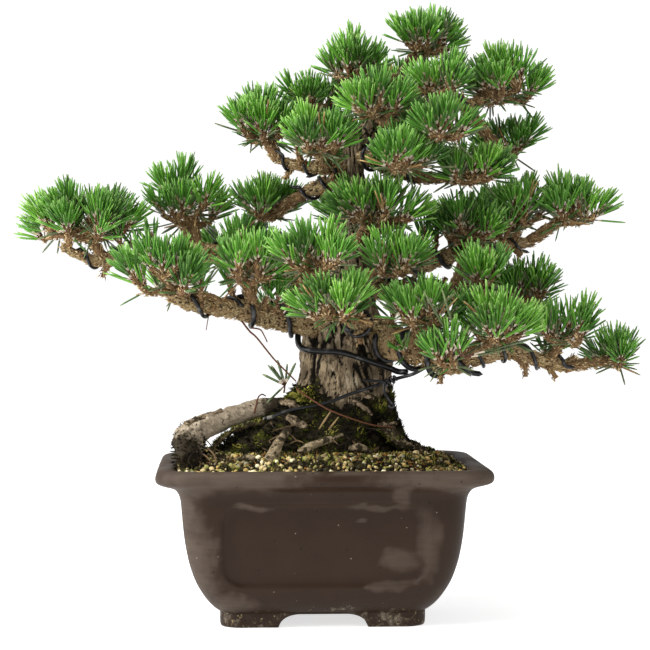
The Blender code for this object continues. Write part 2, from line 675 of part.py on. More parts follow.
class Pad:
    """One mass of tufts that keeps to its own space between the limbs and the other pads."""

    def __init__(self, name, pieces):
        self.name = name
        self.carrier, foot, centre, radii, self.tufts = PADS[name]
        self.foot, self.centre, self.radii = Vector(foot), Vector(centre), Vector(radii)
        self.hub = pad_hub(self.foot, self.centre, self.radii)
        self.placed = []
        reach = max(radii) + SPIKE_LENGTH
        above = self.centre + Vector((0, 0, 1))
        self.near = [
            piece for piece in pieces
            if piece[0] != name and gap_between(self.centre, above, piece[1], piece[2]) < reach + piece[3]
        ]
        self.neighbours = []
        for other, (_, _, other_centre, other_radii, _) in PADS.items():
            apart = (self.centre - Vector(other_centre)).length
            if other != name and apart < reach + max(other_radii):
                self.neighbours.append((Vector(other_centre), Vector(other_radii)))

    def depth_in(self, point, centre, radii):
        """0 at the middle of a space and 1 at its edge."""
        away = point - centre
        return math.sqrt((away.x / radii.x) ** 2 + (away.y / radii.y) ** 2 + (away.z / radii.z) ** 2)

    def has_room(self, start, end, width, most=TOOTH_REACH):
        """True if a straight bit stays in this pad's space, off its neighbours' and off every limb."""
        margin = PAD_MARGIN + width * PAD_WIDTH_SHARE
        for share in (0.0, 0.2, 0.4, 0.6, 0.8, 1.0):
            point = start.lerp(end, share)
            own = self.depth_in(point, self.centre, self.radii)
            if share > 0.3 and own > most:
                return False
            for centre, radii in self.neighbours:
                if self.depth_in(point, centre, radii) < own + margin:
                    return False
        off = width + LIMB_MARGIN
        return all(gap_between(start, end, a, b) > radius + off for _, a, b, radius in self.near)

    def is_apart(self, start, end, own_tuft):
        """True if a tooth stays off all that this pad's other tufts have already placed."""
        others = [bit[1:] for bit in self.placed if bit[0] != own_tuft]
        return all(gap_between(start, end, a, b) > radius for a, b, radius in others)

    def tuft_line(self, number, phase):
        """Foot, direction and length of one tuft: feet low and close, tips spread over the space's top."""
        out = math.sqrt((number + 0.4) / self.tufts)
        turn = GOLDEN_TURN * number + phase
        flat = Vector((self.radii.x * math.cos(turn), self.radii.y * math.sin(turn), 0))
        foot = self.centre + flat * (FEET_SPREAD * out) - Vector((0, 0, FEET_DROP * self.radii.z))
        lean = PAD_TILT * out
        edge = self.centre + flat * math.sin(lean) + Vector((0, 0, self.radii.z * math.cos(lean)))
        length = min(SPIKE_LENGTH, (edge - foot).length)
        direction = (edge - foot).normalized()
        return edge - direction * length, direction, length / SPIKE_LENGTH

    def grow(self, seed):
        """Stem, twigs and tufts, joined into one closed body."""
        rng = random.Random(GROWTH_SEED + seed)
        bits = new_collection(self.name + "_bits")
        base = cone(self.foot, self.hub, STEM_RADII[0], STEM_RADII[1], STEM_SIDES, PARTS)
        base.name = self.name
        phase = rng.uniform(0, 2 * math.pi)
        for number in range(self.tufts):
            foot, direction, scale = self.tuft_line(number, phase)
            branching = self.foot.lerp(self.hub, FORKS[0] - FORKS[1] * number / self.tufts)
            if not self.has_room(branching.lerp(foot, 0.15), foot, NECK_RADIUS, TWIG_REACH):
                continue
            if not self.has_room(foot, foot + direction * BODY_LENGTH * scale, BODY_RADIUS):
                continue
            self.add_tuft(branching, foot, direction, scale, number, rng, bits)
        combine(base, list(bits.objects), "UNION", "MANIFOLD")
        bpy.data.collections.remove(bits)
        combine(base, seat_cutters(self.carrier), "DIFFERENCE", "MANIFOLD")
        base.data.materials.clear()
        base.data.materials.append(material("needles"))

    def longest(self, root, line, length, number):
        """The tip of a tooth or spike that has room, shortened where it must be."""
        for shrink in SHRINKS:
            tip = root + line * length * shrink
            middle = root.lerp(tip, 0.5)
            if self.has_room(middle, tip, TIP_RADIUS) and self.is_apart(middle, tip, number):
                break
        return tip

    def add_tuft(self, branching, foot, direction, scale, number, rng, bits):
        """A twig that bends up and opens into a star of teeth, as one closed skin."""
        leaving = (foot - branching).normalized()
        across = leaving.cross(direction)
        across = across.normalized() if across.length > 0.05 else direction.orthogonal().normalized()
        bm = bmesh.new()
        necks = []
        for middle, line in ((branching, leaving), (foot, (leaving + direction).normalized())):
            forward = line.cross(across).normalized()
            ring = []
            for k in range(NECK_SIDES):
                turn = 2 * math.pi * k / NECK_SIDES
                out = across * math.cos(turn) + forward * math.sin(turn)
                ring.append(bm.verts.new(middle + NECK_RADIUS * out))
            necks.append(ring)
        forward = direction.cross(across)
        star = []
        for k in range(2 * TEETH):
            turn = math.pi * k / TEETH
            lean = NOTCH_LEAN if k % 2 else TOOTH_LEAN
            lean = math.radians(lean + rng.uniform(-LEAN_SPREAD, LEAN_SPREAD))
            side = across * math.cos(turn) + forward * math.sin(turn)
            line = direction * math.cos(lean) + side * math.sin(lean)
            length = NOTCH_LENGTH if k % 2 else TOOTH_LENGTH * rng.uniform(*LENGTH_SPREAD)
            tip = self.longest(foot, line, length * scale, number)
            if k % 2 == 0:
                self.placed.append((number, foot.lerp(tip, 0.4), tip, TOOTH_RADIUS))
            star.append(bm.verts.new(tip))
        top = bm.verts.new(self.longest(foot, direction, SPIKE_LENGTH * scale, number))
        self.placed.append((number, branching, foot, NECK_SPACE))
        self.placed.append((number, foot, top.co.copy(), BODY_RADIUS))
        low, high = necks
        bm.faces.new(low)
        per_side = 2 * TEETH // NECK_SIDES
        half = per_side // 2
        for k in range(NECK_SIDES):
            following = (k + 1) % NECK_SIDES
            bm.faces.new((low[k], low[following], high[following], high[k]))
            bm.faces.new((high[k], high[following], star[per_side * k + half]))
            for i in range(per_side * k - half, per_side * k + half):
                bm.faces.new((high[k], star[i], star[(i + 1) % len(star)]))
                bm.faces.new((top, star[i], star[(i + 1) % len(star)]))
        bmesh.ops.recalc_face_normals(bm, faces=bm.faces)
        mesh_object("tuft", bm, bits)


def make_pads():
    """Every mass of foliage, each grown from a seed of its own."""
    pieces = limb_segments()
    for seed, name in enumerate(PADS):
        Pad(name, pieces).grow(seed)


def make_wires():
    """A heavy wire that braces the trunk, and the guy wire that pulls the right bough down."""
    wires = {
        "wire_trunk": (TRUNK_WIRE_RADIUS, TRUNK_WIRE_GAP, TRUNK_WIRE_ROUTE, TRUNK_WIRE_END),
        "wire_guy": (GUY_WIRE_RADIUS, GUY_WIRE_GAP, GUY_WIRE_ROUTE, GUY_WIRE_END),
    }
    for name, (radius, gap, route, end) in wires.items():
        path = [front_of_trunk(x, height, radius + gap) for x, height in route]
        tube(name, path + list(end), (radius, radius), PARTS, "wire", step=WIRE_STEP)


def carry_plant():
    """Moves the whole plant so that the world's origin lies below the centre of its outer box."""
    corners = [part.matrix_world @ vertex.co for part in PARTS.objects for vertex in part.data.vertices]
    lowest = [min(corner[axis] for corner in corners) for axis in range(3)]
    highest = [max(corner[axis] for corner in corners) for axis in range(3)]
    carrier = bpy.data.objects.new("plant_origin", None)
    PARTS.objects.link(carrier)
    carrier.location = (-(lowest[0] + highest[0]) / 2, -(lowest[1] + highest[1]) / 2, -lowest[2])
    for part in PARTS.objects:
        if part != carrier:
            part.parent = carrier


make_pot()
make_ground_and_roots()
make_boughs()
make_pads()
make_wires()
carry_plant()
for part in PARTS.objects:
    if part.type == "MESH":
        part.data.shade_smooth()
        part.data.set_sharp_from_angle(angle=SHARP_ANGLE)
bpy.data.collections.remove(HELPERS)
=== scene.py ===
"""Looks of the kotobuki black pine bonsai: fired clay pot, grit and moss, barked limbs, wires and needles.

Tables hold millimetres from the table below the pot's middle: +X to the right, +Y away, +Z up.
"""

import math
import random

import bmesh
import bpy
import numpy as np
from mathutils import Matrix, Vector, noise


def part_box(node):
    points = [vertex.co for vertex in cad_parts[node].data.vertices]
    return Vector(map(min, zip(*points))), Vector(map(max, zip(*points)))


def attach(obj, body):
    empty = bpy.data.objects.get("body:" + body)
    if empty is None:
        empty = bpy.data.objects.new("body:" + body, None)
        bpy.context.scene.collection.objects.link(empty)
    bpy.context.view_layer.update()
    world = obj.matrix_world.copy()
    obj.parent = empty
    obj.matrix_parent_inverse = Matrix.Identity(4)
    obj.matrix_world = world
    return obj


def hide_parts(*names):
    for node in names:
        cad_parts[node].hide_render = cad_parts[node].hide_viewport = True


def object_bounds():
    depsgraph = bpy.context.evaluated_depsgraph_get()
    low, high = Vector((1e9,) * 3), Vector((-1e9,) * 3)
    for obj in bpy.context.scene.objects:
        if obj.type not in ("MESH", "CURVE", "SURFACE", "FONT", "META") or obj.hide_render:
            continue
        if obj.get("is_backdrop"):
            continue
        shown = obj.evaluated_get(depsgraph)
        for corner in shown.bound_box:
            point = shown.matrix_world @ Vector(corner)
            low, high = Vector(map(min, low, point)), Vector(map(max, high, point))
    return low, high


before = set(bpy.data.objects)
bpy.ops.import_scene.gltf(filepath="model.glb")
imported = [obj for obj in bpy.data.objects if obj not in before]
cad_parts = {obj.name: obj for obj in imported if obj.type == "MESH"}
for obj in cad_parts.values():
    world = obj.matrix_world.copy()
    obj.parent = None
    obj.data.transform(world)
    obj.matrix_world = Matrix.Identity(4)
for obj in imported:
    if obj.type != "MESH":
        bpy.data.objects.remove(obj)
cad_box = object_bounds()


# The view. A long lens stands level with the lowest boughs, a little left of the middle, over a wide pale
# table in a white room. Soft lamps hang above and to the left, as in a product studio.
MM = 0.001
POT_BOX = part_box("pot")
TABLE_POINT = Vector(((POT_BOX[0].x + POT_BOX[1].x) / 2, (POT_BOX[0].y + POT_BOX[1].y) / 2, 0.0))
CAMERA_PLACE = (-55.92, -1198.70, 205.0)
CAMERA_TURN = math.radians(-2.8)
CAMERA_DIP = math.radians(1.178)
LENS = 107.8
SENSOR = 36.0


def placed(point):
    """A point of the tables as a place in the frame."""
    return TABLE_POINT + Vector(point) * MM


def aimed(thing, place, towards):
    thing.location = place
    thing.rotation_euler = (Vector(towards) - Vector(place)).to_track_quat("-Z", "Y").to_euler()
    bpy.context.scene.collection.objects.link(thing)


camera = bpy.data.objects.new("camera", bpy.data.cameras.new("camera"))
camera.data.lens = LENS
camera.data.sensor_width = SENSOR
forward = Vector((
    -math.sin(CAMERA_TURN) * math.cos(CAMERA_DIP),
    math.cos(CAMERA_TURN) * math.cos(CAMERA_DIP),
    -math.sin(CAMERA_DIP),
))
aimed(camera, placed(CAMERA_PLACE), placed(CAMERA_PLACE) + forward)
bpy.context.scene.camera = camera

# Name, place in metres, size in metres, watts
LAMPS = (
    ("lamp_above", (-0.40, -0.35, 1.25), 0.9, 21.0),
    ("lamp_left", (-1.25, -0.45, 0.60), 0.5, 19.0),
    ("lamp_right", (1.15, -1.0, 0.6), 1.0, 4.0),
)
LAMP_AIM = (0, 0, 0.2)
for name, place, size, watts in LAMPS:
    lamp = bpy.data.lights.new(name, "AREA")
    lamp.shape = "SQUARE"
    lamp.size = size
    lamp.energy = watts
    aimed(bpy.data.objects.new(name, lamp), place, LAMP_AIM)

# The room is white, and lights the tree with a little more than half of what shows behind it
ROOM_SHOWN = 1.05
ROOM_LIGHT = 0.52
world = bpy.data.worlds.new("studio")
world.use_nodes = True
room = world.node_tree.nodes["Background"]
seen = world.node_tree.nodes.new("ShaderNodeLightPath")
share = world.node_tree.nodes.new("ShaderNodeMapRange")
share.inputs["To Min"].default_value = ROOM_LIGHT
share.inputs["To Max"].default_value = ROOM_SHOWN
world.node_tree.links.new(seen.outputs["Is Camera Ray"], share.inputs["Value"])
world.node_tree.links.new(share.outputs["Result"], room.inputs["Strength"])
room.inputs["Color"].default_value = (1.0, 1.0, 1.0, 1.0)
bpy.context.scene.world = world
bpy.context.scene.view_settings.view_transform = "Standard"


class Signal:
    """A number or colour that varies over a surface, so that shader maths reads as plain sums."""

    def __init__(self, finish, socket):
        self.finish = finish
        self.socket = socket

    def maths(self, operation, first, second=0.0):
        return self.finish.node("Math", {"operation": operation}, {0: first, 1: second})

    def __add__(self, other):
        return self.maths("ADD", self, other)

    def __sub__(self, other):
        return self.maths("SUBTRACT", self, other)

    def __rsub__(self, other):
        return self.maths("SUBTRACT", other, self)

    def __mul__(self, other):
        return self.maths("MULTIPLY", self, other)

    def most(self, other):
        return self.maths("MAXIMUM", self, other)

    def between(self, low, high):
        """0 below low, 1 above high, and a soft step from one to the other."""
        return self.finish.node("MapRange", {"interpolation_type": "SMOOTHSTEP"}, {
            "Value": self, "From Min": low, "From Max": high
        })

    __radd__ = __add__
    __rmul__ = __mul__


class Finish:
    """A procedural finish: its nodes, and the shader that they feed."""

    def __init__(self, name, colour=(0.5, 0.5, 0.5), **constants):
        self.material = bpy.data.materials.new(name)
        self.material.use_nodes = True
        self.tree = self.material.node_tree
        self.shader = self.tree.nodes["Principled BSDF"]
        self.shader.inputs["Base Color"].default_value = (*colour, 1.0)
        for socket, value in constants.items():
            self.shader.inputs[socket.replace("_", " ")].default_value = value

    def node(self, kind, settings=None, sockets=None, output=0):
        """One node of a kind: its settings first, then the values or links of its sockets."""
        made = self.tree.nodes.new("ShaderNode" + kind)
        for setting, value in (settings or {}).items():
            setattr(made, setting, value)
        for socket, value in (sockets or {}).items():
            self.feed(made.inputs[socket], value)
        return Signal(self, made.outputs[output])

    def feed(self, socket, value):
        if isinstance(value, Signal):
            self.tree.links.new(value.socket, socket)
        elif isinstance(value, tuple) and socket.type == "RGBA":
            socket.default_value = (*value, 1.0)
        else:
            socket.default_value = value

    def place(self, stretch=(1.0, 1.0, 1.0)):
        """The point on the piece in millimetres, stretched along the axes."""
        point = self.node("TexCoord", output=3)
        scale = Vector(stretch) / MM
        return self.node("Mapping", None, {"Vector": point, "Scale": scale})

    def noise(self, size, detail=3.0, stretch=(1.0, 1.0, 1.0), roughness=0.55):
        """Soft noise from 0 to 1 with features of a size in millimetres."""
        return self.node("TexNoise", None, {
            "Vector": self.place(stretch), "Scale": 1.0 / size, "Detail": detail, "Roughness": roughness
        })

    def cells(self, size, stretch=(1.0, 1.0, 1.0), feature="F1"):
        """Distance from the middle or the edge of random cells of a size in millimetres."""
        return self.node("TexVoronoi", {"feature": feature}, {
            "Vector": self.place(stretch), "Scale": 1.0 / size
        })

    def attribute(self, name):
        """A number that the mesh holds at each point."""
        return self.node("Attribute", {"attribute_name": name}, output=2)

    def across(self):
        """How far right of the pot's middle, in millimetres."""
        return self.node("SeparateXYZ", None, {"Vector": self.place()}, 0) - TABLE_POINT.x / MM

    def height(self):
        """Height above the table in millimetres."""
        return self.node("SeparateXYZ", None, {"Vector": self.place()}, 2)

    def mix(self, share, first, second):
        """The first colour where share is 0, and the second where it is 1."""
        return self.node("Mix", {"data_type": "RGBA"}, {0: share, 6: first, 7: second}, 2)

    def colour(self, signal):
        self.feed(self.shader.inputs["Base Color"], signal)

    def roughness(self, signal):
        self.feed(self.shader.inputs["Roughness"], signal)

    def bump(self, signal, depth):
        """Relief whose height in millimetres is depth where the signal is 1."""
        bent = self.node("Bump", None, {"Height": signal, "Strength": 1.0, "Distance": depth * MM})
        self.feed(self.shader.inputs["Normal"], bent)


TABLE_GREY = (0.72, 0.72, 0.72)
TABLE_GLOW = 0.67
TABLE_SIZE = 12.0
table_top = Finish("pale_table", TABLE_GREY, Roughness=0.9, Emission_Strength=TABLE_GLOW)
table_top.shader.inputs["Emission Color"].default_value = (1.0, 1.0, 1.0, 1.0)
bm = bmesh.new()
bmesh.ops.create_grid(bm, x_segments=1, y_segments=1, size=TABLE_SIZE / 2)
mesh = bpy.data.meshes.new("studio_table")
bm.to_mesh(mesh)
bm.free()
mesh.materials.append(table_top.material)
studio_table = bpy.data.objects.new("studio_table", mesh)
bpy.context.scene.collection.objects.link(studio_table)
studio_table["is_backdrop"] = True


# The pot. One thick wall of unglazed brown stoneware, pressed in a mould: a flared lip, a belly drawn in
# to four angled feet, and a sunken panel with rounded corners in each face. Damp clay is dark, and dry
# clay and lime leave paler clouds on it. Some pale clouds are painted highlights along the panels' edges.
POT_LENGTH = 200.0
POT_DEPTH = 155.0
CORNER_RADIUS = 21.0
CORNER_LOSS = 0.25
TIGHTEST_CORNER = 8.0
# Height and how far in from the rim's widest line: down inside, over the lip, and down outside
POT_PROFILE = (
    (72.0, 23.0), (88.0, 17.0), (94.0, 12.0), (95.9, 10.4), (96.4, 9.0), (96.6, 6.0), (96.3, 3.4),
    (95.3, 1.6), (93.8, 0.5), (91.5, 0.0), (89.3, 0.5), (88.0, 1.9), (86.9, 4.6), (85.8, 8.0),
    (84.0, 11.6), (81.0, 13.8), (77.0, 14.9), (70.0, 15.6), (62.0, 16.3), (54.0, 17.2), (45.0, 18.7),
    (38.0, 20.3), (31.0, 22.5), (26.0, 24.6), (22.0, 26.8), (18.0, 29.3), (14.0, 32.4), (11.0, 35.5),
    (9.2, 38.0), (8.6, 40.0), (8.6, 60.0),
)
UNDER_LIP = 12
POT_AROUND = 360
POT_LEVELS = 140
# Unevenness that a hand leaves: the waves' size, the one part in so many of x and of y, and their rise
HAND_WAVE = 34
HAND_PARTS = (300, 240)
HAND_RISE = 0.1
# Panels: how deep, how wide an edge, lowest and highest, how far in from the corner, and their own corner
PANEL_SINK = 3.2
PANEL_EDGE = 2.9
PANEL_LEVELS = (27.0, 76.0)
PANEL_MARGIN = 40.0
PANEL_CORNER = 13.0
# Height and how far in from the rim's widest line, down outside the foot and up inside it
FOOT_PROFILE = (
    (11.0, 38.0), (6.0, 38.0), (2.5, 38.1), (0.8, 38.5), (0.0, 39.6), (0.0, 44.5), (0.0, 49.4), (0.8, 50.6),
    (4.0, 51.0), (11.0, 51.0), (11.0, 44.5), (11.0, 38.0),
)
FOOT_LEVELS = 22
FOOT_INSET = 38.0
# The gap between two feet: its share of the side, its flank's share of that, and its depth's of the foot
ARCH_SHARE = 0.43
ARCH_FLANK = 0.24
ARCH_DEPTH = 0.72
MERGE_WITHIN = 0.001


def curve_point(points, place):
    """The point at a place, counted in points, on a smooth curve through all of them."""
    last = len(points) - 1
    i = min(int(place), last - 1)
    t = place - i
    b, c = points[i], points[i + 1]
    a = points[i - 1] if i else b * 2 - c
    d = points[i + 2] if i + 2 <= last else c * 2 - b
    bend = (2 * a - 5 * b + 4 * c - d) * t ** 2 + (3 * b - a - 3 * c + d) * t ** 3
    return b + 0.5 * ((c - a) * t + bend)


def wrapped(around, levels, shape, layer=None):
    """A grid wrapped to a skin by a rule that takes the shares around and along it."""
    bm = bmesh.new()
    bmesh.ops.create_grid(bm, x_segments=around, y_segments=levels, size=0.5)
    depth = bm.verts.layers.float.new(layer) if layer else None
    for vert in bm.verts:
        place = shape(vert.co.x + 0.5, vert.co.y + 0.5)
        if layer:
            place, vert[depth] = place
        vert.co = place
    bmesh.ops.remove_doubles(bm, verts=bm.verts, dist=MERGE_WITHIN)
    bmesh.ops.recalc_face_normals(bm, faces=bm.faces)
    return bm


def set_in(name, mesh, finishes, replaced):
    """Gives a finished mesh its finishes and makes it a piece of the tree."""
    for finish in finishes:
        mesh.materials.append(finish.material)
    made = bpy.data.objects.new(name, mesh)
    bpy.context.scene.collection.objects.link(made)
    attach(made, "root")
    if replaced:
        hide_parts(*replaced)


def piece(name, bm, finishes, replaced=()):
    """Makes a bmesh in the tables' millimetres a piece of the tree, in the frame."""
    bm.transform(Matrix.Translation(TABLE_POINT) @ Matrix.Scale(MM, 4))
    mesh = bpy.data.meshes.new(name)
    bm.to_mesh(mesh)
    bm.free()
    mesh.shade_smooth()
    set_in(name, mesh, finishes, replaced)


def corner_radius(inset):
    """The pot's corners tighten a little as its wall draws in."""
    return max(TIGHTEST_CORNER, CORNER_RADIUS - CORNER_LOSS * inset)


def wall_point(around, inset):
    """The place where a share of the way round falls on a level of the pot."""
    radius = corner_radius(inset)
    half_x, half_y = POT_LENGTH / 2 - inset, POT_DEPTH / 2 - inset
    side_x, side_y = half_x - radius, half_y - radius
    corner = math.pi * radius / 2
    quarter = side_x + corner + side_y
    lap, rest = divmod(around * 4, 1)
    rest = rest if int(lap) % 2 == 0 else 1 - rest
    way = rest * quarter
    if way <= side_y:
        x, y = half_x, way
    elif way <= side_y + corner:
        turn = (way - side_y) / radius
        x, y = side_x + radius * math.cos(turn), side_y + radius * math.sin(turn)
    else:
        x, y = side_x - (way - side_y - corner), half_y
    lap = int(lap) % 4
    return Vector((x if lap in (0, 3) else -x, y if lap in (0, 1) else -y))


def panel_depth(point, height):
    """How far the wall sinks at a point of it, with a soft edge round each panel."""
    low, high = PANEL_LEVELS
    if not low - PANEL_EDGE < height < high + PANEL_EDGE:
        return Vector((0, 0))
    upright = max(abs(height - (low + high) / 2) - (high - low) / 2 + PANEL_CORNER, 0)
    depths = []
    for along, across, half in ((point.x, point.y, POT_LENGTH / 2), (point.y, point.x, POT_DEPTH / 2)):
        reach = half - PANEL_MARGIN
        out = Vector((max(abs(along) - reach + PANEL_CORNER, 0), upright)).length - PANEL_CORNER
        share = max(0.0, min(1.0, 0.5 - out / PANEL_EDGE))
        depths.append(PANEL_SINK * share * share * (3 - 2 * share) * (1 if across > 0 else -1))
    on_front = abs(point.y) / POT_DEPTH > abs(point.x) / POT_LENGTH
    return Vector((0, -depths[0])) if on_front else Vector((-depths[1], 0))


profile = [Vector(level) for level in POT_PROFILE]

# Pale clouds: middle round the wall from the front's middle to the right, height, half width and half
# height.
# Most are dry clay and lime. The narrow ones along the front panel's edges, and the band and patches at its
# right, are painted highlights where the panel's edge catches light.
STAINS_AND_HIGHLIGHTS = (
    (-90, 74, 17, 20), (-80, 42, 19, 33), (-60, 15, 20, 8), (61, 52, 8.5, 25), (44, 43, 12, 8),
    (40, 27.3, 17, 3.4), (46, 82, 7, 11), (-44, 73.5, 15, 2.6), (33, 74, 22, 2.2), (18, 65.5, 4, 2.2),
    (-60, 93, 56, 11), (74, 93, 50, 11), (-80, 86, 24, 7), (80, 87, 26, 5), (78, 16, 14, 9),
    (-150, 50, 15, 24), (152, 34, 16, 20), (-150, 93, 26, 9), (160, 92, 22, 10), (128, 62, 9, 15),
    (-205, 45, 18, 14), (215, 68, 30, 5), (250, 38, 12, 22), (-250, 90, 50, 8), (-228, 20, 16, 9),
)
FRONT_SHARE = 0.75
LEAST_DRY_AND_LIT = -1.5
# Rise and size of the waves that ruffle the clouds' edges, sideways and upright
RUFFLES = ((5.5, 15), (2.2, 5))
RUFFLE_SHIFTS = (Vector((5, 1, 8)), Vector((2, 9, 4)))
UPRIGHT_RUFFLE = 0.6


def dryness_and_highlight(around, height, inset, point):
    """1 in the middle of a pale cloud (dry clay, and painted highlight at the panels' edges), 0 at its edge
    and less outside it.
    """
    radius = corner_radius(inset)
    lap = 2 * (POT_LENGTH + POT_DEPTH) - 8 * (inset + radius) + 2 * math.pi * radius
    whole = Vector((point.x, point.y, height))
    sideways, upright = (
        sum(rise * noise.noise(whole / size + shift) for rise, size in RUFFLES) for shift in RUFFLE_SHIFTS
    )
    way = (around - FRONT_SHARE) * lap + sideways
    up = height + upright * UPRIGHT_RUFFLE
    return max(
        1 - (((way - x + lap / 2) % lap - lap / 2) / half_width) ** 2 - ((up - z) / half_height) ** 2
        for x, z, half_width, half_height in STAINS_AND_HIGHLIGHTS
    )


def pot_shape(around, along):
    """A point of the pot's skin and its share of pale cloud there, dry clay and painted highlight, from the
    underside up and over the lip.
    """
    place = (1 - along) * (len(profile) - 1)
    height, inset = curve_point(profile, place)
    if along == 1:
        return Vector((0, 0, height)), 0.0
    point = wall_point(around, inset)
    dry_and_highlit = max(LEAST_DRY_AND_LIT, dryness_and_highlight(around, height, inset, point))
    if place > UNDER_LIP:
        point += panel_depth(point, height)
    hand = noise.noise(Vector((point.x, point.y, height)) / HAND_WAVE)
    x, y = (value * (1 + hand / part) for value, part in zip(point, HAND_PARTS))
    return Vector((x, y, height + HAND_RISE * hand)), dry_and_highlit


foot_profile = [Vector(level) for level in FOOT_PROFILE]


def foot_shape(around, along):
    """A ring under the belly, drawn up into the clay between each two feet."""
    height, inset = curve_point(foot_profile, (1 - along) * (len(foot_profile) - 1))
    height = max(0.0, height)
    point = wall_point(around, inset)
    on_front = abs(point.y) / (POT_DEPTH / 2 - inset) > abs(point.x) / (POT_LENGTH / 2 - inset)
    across, side = (point.x, POT_LENGTH) if on_front else (point.y, POT_DEPTH)
    width = (side - 2 * FOOT_INSET) * ARCH_SHARE
    share = max(0.0, min(1.0, (0.5 - abs(across) / width) / ARCH_FLANK))
    top = FOOT_PROFILE[0][0]
    left = 1 - ARCH_DEPTH * math.sqrt(1 - (1 - share) ** 2)
    return Vector((point.x, point.y, top - (top - height) * left))


clay = Finish("brown_stoneware", Specular_IOR_Level=0.13)
clouds_and_highlights = clay.attribute("dryness_and_highlight")
ragged = clay.noise(7, 4.0) * 1.3
height = clay.height()
near_rim = height.between(84, 90)
near_base = 1.0 - height.between(4, 26)
# The pale clouds are dry clay and lime, and along the panels' edges they are painted highlights
dry_and_highlit = (clouds_and_highlights + ragged).between(0.42, 1.65)
streaks = clay.noise(5, 3.0, (0.22, 0.22, 2.6))
body_colour = clay.mix(clay.noise(20, 5.0), (0.0176, 0.0088, 0.0042), (0.0258, 0.0134, 0.0070))
faint = clay.across().between(10, 60) * (1.0 - height.between(80, 90)) * 0.36
dry_and_highlight_colour = clay.mix(streaks, (0.049, 0.035, 0.025), (0.088, 0.065, 0.050))
# The rim's top is painted paler in patches: drier clay and a painted highlight where the top faces the lamps
rim_top_dry_and_highlit = height.between(94.0, 96.2) * clay.noise(9, 4.0).between(0.30, 0.62)
tinted = clay.mix(dry_and_highlit.most(rim_top_dry_and_highlit) * 0.88 * (1.0 - faint), body_colour, dry_and_highlight_colour)
bloom = (clay.noise(15, 5.0, roughness=0.7) + near_base * 0.20).between(0.70, 0.84) * clay.noise(2.5, 3.0)
tinted = clay.mix(bloom * 0.7, tinted, (0.34, 0.29, 0.21))
lime = (clay.noise(3.0, 4.0, roughness=0.7) + near_base * 0.17).between(0.76, 0.84)
tinted = clay.mix(lime * 0.6, tinted, (0.36, 0.28, 0.14))
# Pits are painted near black: painted shade in the pits
shaded_pits = 1.0 - clay.cells(9.0).between(0.045, 0.085)
tinted = clay.mix(shaded_pits * 0.8, tinted, (0.008, 0.005, 0.004))
specks = 1.0 - clay.cells(12.0, (1.1, 0.9, 1.0)).between(0.022, 0.036)
clay.colour(clay.mix(specks * 0.55, tinted, (0.42, 0.36, 0.28)))
clay.roughness(0.42 + dry_and_highlit * 0.20 + clay.noise(4, 3.0) * 0.08)
clay.bump(clay.noise(2.2, 4.0) + clay.noise(18, 2.0) * 1.5 - shaded_pits * 1.6 + streaks * near_rim * 1.6, 0.13)

# Two drain holes show damp peat above them.
DRAIN_RADIUS = 8.0
DRAIN_OFFSET = 24.0
DRAIN_DEPTH = 7.0
DRAIN_SIDES = 32
peat = Finish("dark_peat", Roughness=0.95, Specular_IOR_Level=0.1)
crumbs = peat.noise(2.4, 5.0)
peat.colour(peat.mix(crumbs.between(0.35, 0.7), (0.008, 0.006, 0.003), (0.060, 0.043, 0.018)))
peat.bump(crumbs, 1.2)

pot = wrapped(POT_AROUND, POT_LEVELS, pot_shape, "dryness_and_highlight")
underside = [edge for edge in pot.edges if edge.is_boundary]
for x in (-DRAIN_OFFSET, DRAIN_OFFSET):
    middle = Matrix.Translation((x, 0, POT_PROFILE[-1][0]))
    bmesh.ops.create_circle(pot, segments=DRAIN_SIDES, radius=DRAIN_RADIUS, matrix=middle)
holes = [edge for edge in pot.edges if edge.is_wire]
bmesh.ops.triangle_fill(pot, edges=underside + holes, use_beauty=True)
inner = bmesh.ops.extrude_edge_only(pot, edges=holes)["geom"]
bmesh.ops.translate(
    pot, verts=[part for part in inner if isinstance(part, bmesh.types.BMVert)], vec=(0, 0, DRAIN_DEPTH)
)
lids = bmesh.ops.holes_fill(pot, edges=[part for part in inner if isinstance(part, bmesh.types.BMEdge)])
for face in lids["faces"]:
    face.material_index = 1
foot = wrapped(POT_AROUND, FOOT_LEVELS, foot_shape)
foot_mesh = bpy.data.meshes.new("foot")
foot.to_mesh(foot_mesh)
foot.free()
pot.from_mesh(foot_mesh)
bpy.data.meshes.remove(foot_mesh)
bmesh.ops.recalc_face_normals(pot, faces=pot.faces)
piece("pot_clay_body", pot, (clay, peat), ("pot",))


# The soil. A mound of baked clay grit, one to five millimetres a grain, that fills the pot to just below
# its rim. Fine dark peat binds it, and moss grows between the grains and thickly round the trunk.
SOIL_EDGE_HEIGHT = 93.6
SOIL_TOP_HEIGHT = 102.6
MOUND_CENTRE = Vector((-4.0, -2.0))
MOUND_RADII = Vector((70.0, 50.0))
MOUND_SLOPE = 0.33
SOIL_INSET = 12.6
SOIL_AROUND = 150
SOIL_RINGS = 50
SOIL_DEPTH = 12.0
SOIL_WAVE = 9
SOIL_LUMP = 2
SOIL_LUMP_RISE = 0.5
SOIL_EDGE_TUCK = 4


def mound_height(x, y):
    """The soil's height at a place in the pot."""
    out = math.hypot((x - MOUND_CENTRE.x) / MOUND_RADII.x, (y - MOUND_CENTRE.y) / MOUND_RADII.y)
    share = max(0.0, min(1.0, 1 - (out - 1) / MOUND_SLOPE))
    rise = (SOIL_TOP_HEIGHT - SOIL_EDGE_HEIGHT) * (0.5 - 0.5 * math.cos(math.pi * share))
    return SOIL_EDGE_HEIGHT + rise + noise.noise(Vector((x, y, 0)) / SOIL_WAVE)


